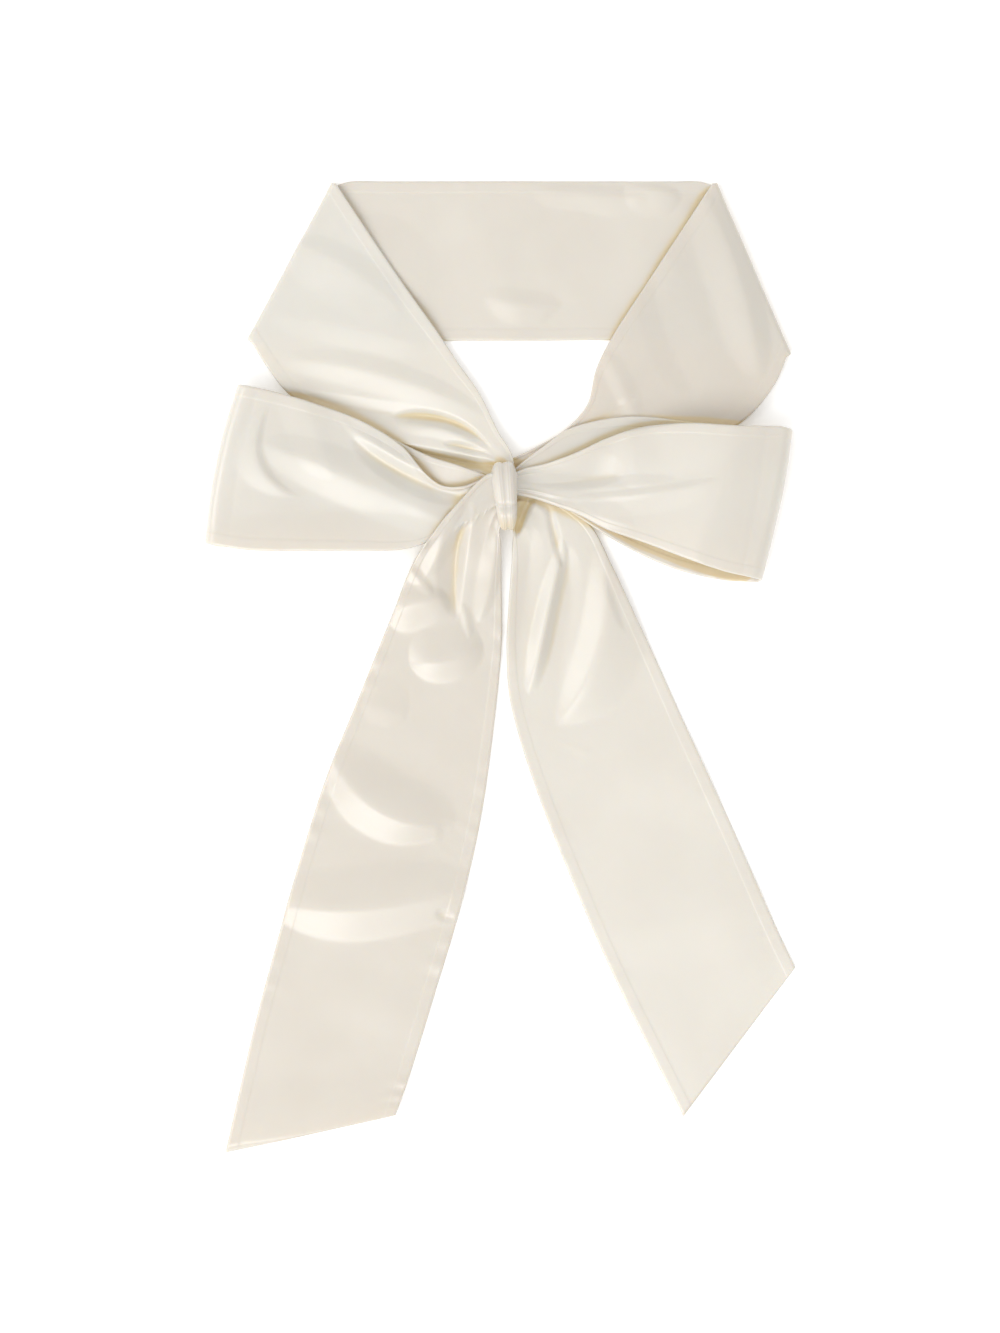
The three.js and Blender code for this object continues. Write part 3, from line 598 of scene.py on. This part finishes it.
# %% Neck band
left_arm = sections_along(LEFT_ARM)
back_of_neck = sections_along(BACK_OF_NECK, BACK_STEP)
right_arm = sections_along(RIGHT_ARM)
left_crease = half_turn(left_arm[-2], left_arm[-1], back_of_neck[0])
right_crease = half_turn(right_arm[1], right_arm[0], back_of_neck[-1])[::-1]
band_sections = np.concatenate([left_arm, left_crease, back_of_neck, right_crease, right_arm])
neck_band = middle_surface(
    band_sections, 1, BAND_FOLDS, seed=3, pleats=4, gather=0.5, reach=34.0, back_folds=BACK_FOLDS
)
band = neck_band[0]
under_start = len(left_arm) + len(left_crease)
under_stop = under_start + len(back_of_neck)
right_start = under_stop + len(right_crease)
band[..., 2] = np.maximum(band[..., 2], WALL / 2 + SEAM_EXTRA)
mark_top(band[under_start:under_stop])
lay(band[right_start:])
mark_top(band[right_start:])
lay(band[: len(left_arm)])
mark_top(band)

# %% [markdown]
# ## The right tail and the two loops
# The right tail comes out from under the right loop, so it is laid first. A loop's back layer is
# laid next, then its front layer over it, with air in between. The folded end joins the two, and
# its middle bows outwards, as a pressed fold does when the layers slip on each other.


# %% Right tail, loops and left tail
def make_tail(rows, folds, seed, **options):
    """One tail: a single layer from the knot to its slanted end."""
    middle, normal, cloth = middle_surface(sections_along(rows), 1, folds, seed, **options)
    lay(middle)
    mark_top(middle)
    return middle, normal, cloth


def make_loop(front_rows, back_rows, folds, side, seed, end_bow, **options):
    """One loop of the bow: front layer, folded end and back layer in one run of sections. Its end
    bows outwards and a pressed crease runs beside it, with the profile of a bell curve."""
    front = sections_along(front_rows)
    back = sections_along(back_rows)
    end = half_turn(front[-2], front[-1], back[0])
    sections = np.concatenate([front, end, back])
    out = outward_of(front[-2], front[-1])
    inside = ((front[-1] - sections).mean(axis=1)[:, :2] @ out).clip(0)
    share = end_bow * (1 - inside / BOW_REACH).clip(0) ** 2
    middle, normal, cloth = middle_surface(
        sections, side, folds, seed, bow=share[:, None] * out, **options
    )
    tip = cloth[len(front), 0, 1]
    pressed = np.exp(-(((cloth[..., 1] - tip + PRESSED_BACK) / PRESSED_WIDTH) ** 2))
    middle[..., 2] -= PRESSED_DEPTH * pressed
    for layer in (middle[len(front) + len(end) :], middle[: len(front)]):
        lay(layer)
        mark_top(layer)
    return middle, normal, cloth


TAIL_GATHERS = {"pleats": 3, "gather": 0.4, "reach": 30.0}
LOOP_GATHERS = {"pleats": 4, "gather": 0.5, "reach": 32.0}
tail_right = make_tail(TAIL_RIGHT, TAIL_RIGHT_FOLDS, seed=21, **TAIL_GATHERS)
loop_left = make_loop(
    LOOP_LEFT_FRONT, LOOP_LEFT_BACK, LOOP_LEFT_FOLDS, side=1, seed=31, end_bow=2.4, **LOOP_GATHERS
)
loop_right = make_loop(
    LOOP_RIGHT_FRONT, LOOP_RIGHT_BACK, LOOP_RIGHT_FOLDS, side=-1, seed=41, end_bow=1.0,
    **LOOP_GATHERS
)
tail_left = make_tail(
    TAIL_LEFT, TAIL_LEFT_FOLDS, seed=51, pucker=PUCKER_DRAWN_UP, **TAIL_GATHERS
)

# %% [markdown]
# ## The knot
# The wrap goes once round the middle of the bow, so it is a short barrel that lies across it. The
# cloth in it is gathered into rounded cords that run round the barrel, side by side. It narrows
# towards the bottom, where it turns under with a crease and leaves a small lip.


# %% Knot
def knot_rings():
    """Grid of the knot: rings round the X axis, whose size is that of a barrel, less the grooves
    between the cords and the crease at the lip. They are narrower at the knot's lower end."""
    s = np.linspace(-1, 1, KNOT_STATIONS)[:, None]
    angle = np.linspace(0, 2 * np.pi, KNOT_AROUND, endpoint=False)[None, :]
    barrel = np.sqrt(1 - (1 - KNOT_END**2) * s**4)
    twist = s + KNOT_TWIST * np.cos(angle + KNOT_TWIST_TURN)
    groove = 1 - np.abs(np.sin(np.pi * KNOT_CORDS * (twist + 1) / 2)) ** KNOT_CORD_FULL
    slant = KNOT_FINE_SLANT * np.sin(angle)
    fine = KNOT_FINE * np.sin(np.pi * KNOT_FINE_RIBS * twist + slant)
    lip = KNOT_LIP * np.exp(-(((angle - np.pi * KNOT_LIP_TURN) / KNOT_LIP_WIDTH) ** 2))
    size = barrel - KNOT_GROOVE * groove + fine - lip
    narrow = 1 - KNOT_TAPER * (1 - np.cos(angle)) / 2
    x = KNOT_CENTRE[0] + s * KNOT_HALF[0] * narrow - KNOT_LEAN * np.cos(angle)
    y = KNOT_CENTRE[1] + np.cos(angle) * KNOT_HALF[1] * size
    z = KNOT_CENTRE[2] + np.sin(angle) * KNOT_HALF[2] * size
    cloth = np.stack(np.broadcast_arrays(s * STRIP_WIDTH / 2, angle * KNOT_RADIUS), axis=-1)
    return np.stack(np.broadcast_arrays(x, y, z), axis=-1), cloth


knot_grid, knot_cloth = knot_rings()
mark_laid(knot_grid)

# %% [markdown]
# ## Hollows and painted sheen
# Light that falls into a deep fold bounces from satin to satin and comes out warmer, and that
# shade is painted into the colour there. How hollow a point is can be read off the height grid:
# how far it lies under the mean height of everything around it. Painted sheen is the other thing
# that the lie of the strip decides. Satin is lightest where its threads run square to the light,
# so each length's colour is painted as light as its direction makes it.


# %% Hollows and painted sheen
def mean_around(field):
    """Mean of a grid over a square of HOLLOW_CELLS to each side of every cell, taken twice."""
    for axis in (0, 1, 0, 1):
        wide = [(0, 0), (0, 0)]
        wide[axis] = (HOLLOW_CELLS + 1, HOLLOW_CELLS)
        total = np.cumsum(np.pad(field, wide, mode="edge"), axis=axis)
        count = 2 * HOLLOW_CELLS + 1
        upper = np.take(total, np.arange(count, total.shape[axis]), axis=axis)
        lower = np.take(total, np.arange(total.shape[axis] - count), axis=axis)
        field = (upper - lower) / count
    return field


surroundings = mean_around(seen)


def hollow_of(points):
    """Depth of points in millimetres under the mean height of everything around them."""
    return laid_at(points[..., 0], points[..., 1], surroundings) - points[..., 2]


def painted_sheen_of(middle):
    """Painted sheen: one where the strip runs square to the light in plan, zero where it runs
    toward it.
    """
    run = np.gradient(middle.mean(axis=1), axis=0)
    angle = np.arctan2(run[:, 1], run[:, 0]) - BRIGHT_RUN
    return np.broadcast_to((0.5 + 0.5 * np.cos(2 * angle))[:, None], middle.shape[:2])


# %% [markdown]
# ## Closed meshes
# Each row of a length becomes a closed ring: its upper face, a rounded edge, its lower face and
# the other rounded edge. The two ends are filled. The mesh keeps its cloth coordinates, which are
# metres across and along the strip, the hollow that sets its painted fold shade, and its painted
# sheen at each point.


# %% Meshes
def around_ring(field):
    """Values of a grid for each point of its closed rings: upper face, edge, lower face, edge."""
    return np.concatenate([field, field[:, -1:], field[:, ::-1], field[:, :1]], axis=1)


def ring_grid(middle, normal, cloth):
    """Wraps the middle surface in two faces with rounded edges, so that each row becomes a closed
    ring. A face lies half the wall from the middle, and a little more over the seams."""
    half = WALL / 2
    from_edge = STRIP_WIDTH / 2 - np.abs(cloth[0, :, 0])
    border = np.clip((SEAM_ALLOWANCE - from_edge) / SEAM_EDGE + 0.5, 0, 1)
    offset = normal[:, None] * (half + SEAM_EXTRA * border)[None, :, None]
    top = middle + offset
    bottom = middle - offset
    right_edge = (middle[:, -1] + unit(middle[:, -1] - middle[:, -2]) * half)[:, None]
    left_edge = (middle[:, 0] + unit(middle[:, 0] - middle[:, 1]) * half)[:, None]
    ring = np.concatenate([top, right_edge, bottom[:, ::-1], left_edge], axis=1)
    return ring, around_ring(cloth), around_ring(painted_sheen_of(middle))


def end_caps(index):
    """Faces that fill the first and last ring of a strip, so that its two faces are joined."""
    rows, columns = index.shape
    right, left = ACROSS + 1, columns - 1
    j = np.arange(ACROSS)
    faces = []
    for row, turn in ((0, 1), (rows - 1, -1)):
        ring = index[row]
        quads = np.stack([ring[j + 1], ring[j], ring[left - 1 - j], ring[left - 2 - j]], axis=-1)
        right_tip = [ring[ACROSS], ring[right + 1], ring[right]]
        left_tip = [ring[left - 1], ring[0], ring[left]]
        faces += [face[::turn] for face in quads.tolist() + [right_tip, left_tip]]
    return faces


def fan_caps(index, first, last):
    """Triangles from the first and last ring of the knot to its two end points."""
    following = np.roll(index, -1, axis=1)
    near = np.stack([np.full(index.shape[1], first), following[0], index[0]], axis=-1)
    far = np.stack([np.full(index.shape[1], last), index[-1], following[-1]], axis=-1)
    return near.tolist() + far.tolist()


def closed_piece(name, ring, uv, painted_sheen, knot_ends=None, deeper=0.0):
    """Builds a closed smooth mesh in metres from its rings, with cloth coordinates, painted
    sheen, and how hollow each point is, which sets its painted fold shade: its depth in the
    height grid, or the given depth if that is more."""
    rows, columns = ring.shape[:2]
    index = np.arange(rows * columns).reshape(rows, columns)
    following = np.roll(index, -1, axis=1)
    sides = np.stack([index[:-1], following[:-1], following[1:], index[1:]], axis=-1)
    points = ring.reshape(-1, 3)
    flat = uv.reshape(-1, 2)
    if knot_ends is None:
        caps = end_caps(index)
    else:
        caps = fan_caps(index, len(points), len(points) + 1)
        points = np.concatenate([points, knot_ends])
        flat = np.concatenate([flat, [[-STRIP_WIDTH / 2, 0], [STRIP_WIDTH / 2, 0]]])
    mesh = bpy.data.meshes.new(name)
    metres = (points + ORIGIN_SHIFT) * MM
    mesh.from_pydata(metres.tolist(), [], sides.reshape(-1, 4).tolist() + caps)
    corner = np.empty(len(mesh.loops), int)
    mesh.loops.foreach_get("vertex_index", corner)
    mesh.uv_layers.new(name="cloth").data.foreach_set("uv", (flat[corner] * MM).ravel())
    hollow = np.maximum(hollow_of(points), np.resize(deeper, len(points)))
    for kind, values in (("hollow", hollow), ("painted_sheen", np.resize(painted_sheen, len(points)))):
        mesh.attributes.new(kind, "FLOAT", "POINT").data.foreach_set("value", values)
    mesh.polygons.foreach_set("use_smooth", np.ones(len(mesh.polygons), bool))
    mesh.update()
    piece = bpy.data.objects.new(name, mesh)
    bpy.context.scene.collection.objects.link(piece)
    volume = signed_volume(mesh)
    if volume < 0:
        mesh.flip_normals()
    print(f"{name}: {len(mesh.loop_triangles)} triangles, {abs(volume) * 1e6:.1f} cm3")
    return piece


def signed_volume(mesh):
    """Volume inside a closed mesh in cubic metres: negative if its faces point inwards."""
    mesh.calc_loop_triangles()
    corners = np.empty(len(mesh.loop_triangles) * 3, int)
    mesh.loop_triangles.foreach_get("vertices", corners)
    points = np.empty(len(mesh.vertices) * 3)
    mesh.vertices.foreach_get("co", points)
    a, b, c = points.reshape(-1, 3)[corners.reshape(-1, 3)].transpose(1, 0, 2)
    return float(np.einsum("ij,ij->i", a, np.cross(b, c)).sum() / 6)


# %% [markdown]
# ## Every piece stands for its solid
# Each cloth piece replaces the plain solid of the same length. The flat size of each is the
# strip's width and the length of that part of the strip, measured along its middle.

def dress(name, node, surface):
    middle, normal, cloth = surface
    piece = closed_piece(name, *ring_grid(middle, normal, cloth))
    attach(piece, "root")
    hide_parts(node)
    return piece


neck_piece = dress("neck_band_cloth", "neck_band", neck_band)
tail_right_piece = dress("tail_right_cloth", "tail_right", tail_right)
loop_left_piece = dress("bow_loop_left_cloth", "bow_loop_left", loop_left)
loop_right_piece = dress(
    "bow_loop_right_cloth", "bow_loop_right", loop_right
)
tail_left_piece = dress("tail_left_cloth", "tail_left", tail_left)

# %% The knot's own piece
knot_ends = [knot_grid[0].mean(axis=0), knot_grid[-1].mean(axis=0)]
# painted fold shade over the knot's tucked-in lower end
tucked_in_shade = np.clip((KNOT_LIP_Y - knot_grid[..., 1]) / KNOT_SHADE_SOFT + 0.5, 0, 1)
knot_piece = closed_piece(
    "knot_cloth", knot_grid, knot_cloth, KNOT_PAINTED_SHEEN, knot_ends, KNOT_SHADE * tucked_in_shade.ravel()
)
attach(knot_piece, "root")
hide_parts("knot")
pieces = [
    neck_piece, tail_right_piece, loop_left_piece, loop_right_piece, tail_left_piece, knot_piece
]

# %% [markdown]
# ## Satin
# Satin shines because its threads run free over four or more others before they dip under one.
# Light slides along them, so its highlights are broad across the threads. Three effects are kept
# as node groups: the threads, the border that the turned-in seam raises, and the painted shade of
# folds.


# %% Helpers for nodes
def new_group(name, inputs, outputs):
    """An empty shader node group with named inputs (name, kind, default) and outputs."""
    group = bpy.data.node_groups.new(name, "ShaderNodeTree")
    for socket_name, kind, default in inputs:
        socket = group.interface.new_socket(name=socket_name, in_out="INPUT", socket_type=kind)
        if default is not None:
            socket.default_value = default
    for socket_name, kind in outputs:
        group.interface.new_socket(name=socket_name, in_out="OUTPUT", socket_type=kind)
    return group, group.nodes.new("NodeGroupInput"), group.nodes.new("NodeGroupOutput")


def math_node(tree, operation, first, second=None, clamp=False):
    """A math node fed by sockets or plain numbers. Returns its output socket."""
    node = tree.nodes.new("ShaderNodeMath")
    node.operation = operation
    node.use_clamp = clamp
    for place, value in enumerate((first, second)):
        if isinstance(value, (int, float)):
            node.inputs[place].default_value = value
        elif value is not None:
            tree.links.new(value, node.inputs[place])
    return node.outputs[0]


def noise_node(tree, vector, scale, detail):
    """A noise texture on a vector socket. Returns its value socket."""
    node = tree.nodes.new("ShaderNodeTexNoise")
    node.inputs["Scale"].default_value = scale
    node.inputs["Detail"].default_value = detail
    tree.links.new(vector, node.inputs["Vector"])
    return node.outputs["Fac"]


# %% Node groups
def thread_group():
    """Fine streaks that run along the strip, as a height, and a slow unevenness, as a tint."""
    group, entry, leave = new_group(
        "satin_thread",
        [
            ("Cloth", "NodeSocketVector", None),
            ("Threads per metre", "NodeSocketFloat", THREADS_PER_METRE),
        ],
        [("Height", "NodeSocketFloat"), ("Tint", "NodeSocketFloat")],
    )
    split = group.nodes.new("ShaderNodeSeparateXYZ")
    group.links.new(entry.outputs["Cloth"], split.inputs[0])
    place = group.nodes.new("ShaderNodeCombineXYZ")
    across = math_node(group, "MULTIPLY", split.outputs["X"], entry.outputs["Threads per metre"])
    along = math_node(group, "MULTIPLY", split.outputs["Y"], SLUBS_PER_METRE)
    group.links.new(across, place.inputs["X"])
    group.links.new(along, place.inputs["Y"])
    streaks = noise_node(group, place.outputs[0], 1.0, THREAD_DETAIL)
    mottle = noise_node(group, entry.outputs["Cloth"], MOTTLE_SCALE, MOTTLE_DETAIL)
    group.links.new(streaks, leave.inputs["Height"])
    group.links.new(mottle, leave.inputs["Tint"])
    return group


def seam_group():
    """The border over the turned-in seam: one inside it, falling evenly to zero at its step."""
    group, entry, leave = new_group(
        "seam_border",
        [
            ("Cloth", "NodeSocketVector", None),
            ("Allowance", "NodeSocketFloat", SEAM_ALLOWANCE * MM),
        ],
        [("Mask", "NodeSocketFloat")],
    )
    split = group.nodes.new("ShaderNodeSeparateXYZ")
    group.links.new(entry.outputs["Cloth"], split.inputs[0])
    side = math_node(group, "ABSOLUTE", split.outputs["X"])
    from_edge = math_node(group, "SUBTRACT", STRIP_WIDTH * MM / 2, side)
    past = math_node(group, "SUBTRACT", entry.outputs["Allowance"], from_edge)
    ramp = math_node(group, "MULTIPLY", past, 1 / (SEAM_EDGE * MM))
    group.links.new(math_node(group, "ADD", ramp, 0.5, clamp=True), leave.inputs["Mask"])
    return group


def painted_fold_shade_group():
    """How strongly a hollow is painted with the shade of a fold, rising smoothly with its depth
    in millimetres.
    """
    group, entry, leave = new_group(
        "painted_fold_shade",
        [("Hollow", "NodeSocketFloat", 0.0), ("Strength", "NodeSocketFloat", PAINTED_FOLD_SHADE)],
        [("Mask", "NodeSocketFloat")],
    )
    rise = group.nodes.new("ShaderNodeMapRange")
    rise.interpolation_type = "SMOOTHSTEP"
    rise.inputs["From Min"].default_value = HOLLOW_STARTS
    rise.inputs["From Max"].default_value = HOLLOW_FULL
    group.links.new(entry.outputs["Hollow"], rise.inputs["Value"])
    mask = math_node(group, "MULTIPLY", rise.outputs[0], entry.outputs["Strength"])
    group.links.new(mask, leave.inputs["Mask"])
    return group


# %% [markdown]
# The cloth is ivory: warm, and painted with a much warmer shade where its layers face each other
# in a deep fold, and painted lighter where a length runs square to the light. The shine comes
# from a fairly smooth surface whose highlights are stretched across the threads, and a soft sheen
# lifts the grazing edges.


# %% Satin material
def mix_colour(tree, factor, first, second):
    """Mixes two colours, each a socket or a plain colour, by a factor socket."""
    node = tree.nodes.new("ShaderNodeMix")
    node.data_type = "RGBA"
    for name, value in (("A", first), ("B", second)):
        socket = next(one for one in node.inputs if one.name == name and one.type == "RGBA")
        if isinstance(value, tuple):
            socket.default_value = value
        else:
            tree.links.new(value, socket)
    tree.links.new(factor, node.inputs["Factor"])
    return next(one for one in node.outputs if one.type == "RGBA")


def bump_node(tree, height, strength, distance, under=None):
    """A bump from a height socket, on top of another normal if one is given."""
    node = tree.nodes.new("ShaderNodeBump")
    node.inputs["Strength"].default_value = strength
    node.inputs["Distance"].default_value = distance
    tree.links.new(height, node.inputs["Height"])
    if under is not None:
        tree.links.new(under, node.inputs["Normal"])
    return node.outputs[0]


def grouped(tree, group, source, socket):
    """Places a node group in a material and feeds one of its inputs."""
    node = tree.nodes.new("ShaderNodeGroup")
    node.node_tree = group
    tree.links.new(source, node.inputs[socket])
    return node.outputs


def satin_material(threads, seam, fold_shade_nodes):
    """Ivory satin with threads along the strip, seen in its colour, shine and bump. Its colour
    also carries painted sheen and the painted shade of folds.
    """
    material = bpy.data.materials.new("ivory_satin")
    material.use_nodes = True
    tree = material.node_tree
    shader = tree.nodes["Principled BSDF"]
    shader.inputs["Roughness"].default_value = SATIN_ROUGHNESS
    shader.inputs["Specular IOR Level"].default_value = SATIN_SPECULAR
    shader.inputs["Anisotropic"].default_value = SATIN_ANISOTROPY
    shader.inputs["Sheen Weight"].default_value = SHEEN_WEIGHT
    shader.inputs["Sheen Roughness"].default_value = SHEEN_ROUGHNESS
    shader.inputs["Subsurface Weight"].default_value = SUBSURFACE_WEIGHT
    shader.inputs["Subsurface Radius"].default_value = SUBSURFACE_RADIUS
    shader.inputs["Subsurface Scale"].default_value = SUBSURFACE_SCALE
    uv = tree.nodes.new("ShaderNodeUVMap")
    uv.uv_map = "cloth"
    thread = grouped(tree, threads, uv.outputs[0], "Cloth")
    border = grouped(tree, seam, uv.outputs[0], "Cloth")
    depth = tree.nodes.new("ShaderNodeAttribute")
    depth.attribute_name = "hollow"
    fold_shade_out = grouped(tree, fold_shade_nodes, depth.outputs["Fac"], "Hollow")
    painted_sheen = tree.nodes.new("ShaderNodeAttribute")
    painted_sheen.attribute_name = "painted_sheen"
    # the ivory is painted lighter where the strip runs square to the light, and varies with the
    # dye's mottle
    mottle = math_node(tree, "MULTIPLY", thread["Tint"], MOTTLE_SHARE)
    shine = math_node(tree, "MULTIPLY", painted_sheen.outputs["Fac"], PAINTED_SHEEN_SHARE)
    ivory = mix_colour(tree, math_node(tree, "ADD", shine, mottle), IVORY_DEEP, IVORY)
    # painted shade of a fold, the deeper the hollow the more tan
    tree.links.new(mix_colour(tree, fold_shade_out["Mask"], ivory, PAINTED_FOLD_TAN), shader.inputs["Base Color"])
    fine = bump_node(tree, thread["Height"], THREAD_BUMP, THREAD_HEIGHT)
    raised = bump_node(tree, border["Mask"], SEAM_BUMP, SEAM_EXTRA * MM, fine)
    tree.links.new(raised, shader.inputs["Normal"])
    tangent = tree.nodes.new("ShaderNodeTangent")
    tangent.direction_type = "UV_MAP"
    tangent.uv_map = "cloth"
    tree.links.new(tangent.outputs[0], shader.inputs["Tangent"])
    return material


satin = satin_material(thread_group(), seam_group(), painted_fold_shade_group())
for piece in pieces:
    piece.data.materials.append(satin)

# %% [markdown]
# ## Table, light and camera
# The photograph is a catalogue shot from straight above on white. A large soft light stands at
# the lower left of the picture, a smaller one stands at its left, and pale surroundings fill the
# shadows. The table glows faintly, to come out as white as the one in the photograph.

# %% Table
bpy.ops.mesh.primitive_plane_add(size=TABLE_SIZE, location=(0, 0, 0))
table = bpy.context.object
table.name = "table_top"
white = bpy.data.materials.new("table_white")
white.use_nodes = True
paper = white.node_tree.nodes["Principled BSDF"]
paper.inputs["Base Color"].default_value = TABLE_WHITE
paper.inputs["Roughness"].default_value = TABLE_ROUGHNESS
paper.inputs["Specular IOR Level"].default_value = TABLE_SPECULAR
paper.inputs["Emission Color"].default_value = GLOW_WHITE
paper.inputs["Emission Strength"].default_value = TABLE_GLOW
table.data.materials.append(white)

# %% Light
world = bpy.data.worlds.new("studio")
world.use_nodes = True
surround = world.node_tree.nodes["Background"]
surround.inputs["Color"].default_value = WORLD_WHITE
surround.inputs["Strength"].default_value = WORLD_STRENGTH
bpy.context.scene.world = world


def area_light(name, place, size, power):
    """A square soft light at a place, turned to face the origin."""
    light = bpy.data.lights.new(name, "AREA")
    light.shape = "SQUARE"
    light.size = size
    light.energy = power
    lamp = bpy.data.objects.new(name, light)
    lamp.location = place
    x, y, z = place
    lamp.rotation_euler = (math.atan2(math.hypot(x, y), z), 0.0, math.atan2(-x, y) + math.pi)
    bpy.context.scene.collection.objects.link(lamp)


area_light("softbox", SOFTBOX_PLACE, SOFTBOX_SIZE, SOFTBOX_POWER)
area_light("side_softbox", SIDE_PLACE, SIDE_SIZE, SIDE_POWER)

# %% Camera
LENS = 85.0
SENSOR = 36.0
VIEW_HEIGHT = 0.5599  # metres of table seen from the top of the picture to its bottom
camera_data = bpy.data.cameras.new("from_above")
camera_data.lens = LENS
camera_data.sensor_width = SENSOR
camera_data.sensor_fit = "AUTO"
camera = bpy.data.objects.new("from_above", camera_data)
camera.location = (0.0, 0.0, VIEW_HEIGHT * LENS / SENSOR)
bpy.context.scene.collection.objects.link(camera)
bpy.context.scene.camera = camera
bpy.context.scene.view_settings.view_transform = "Standard"
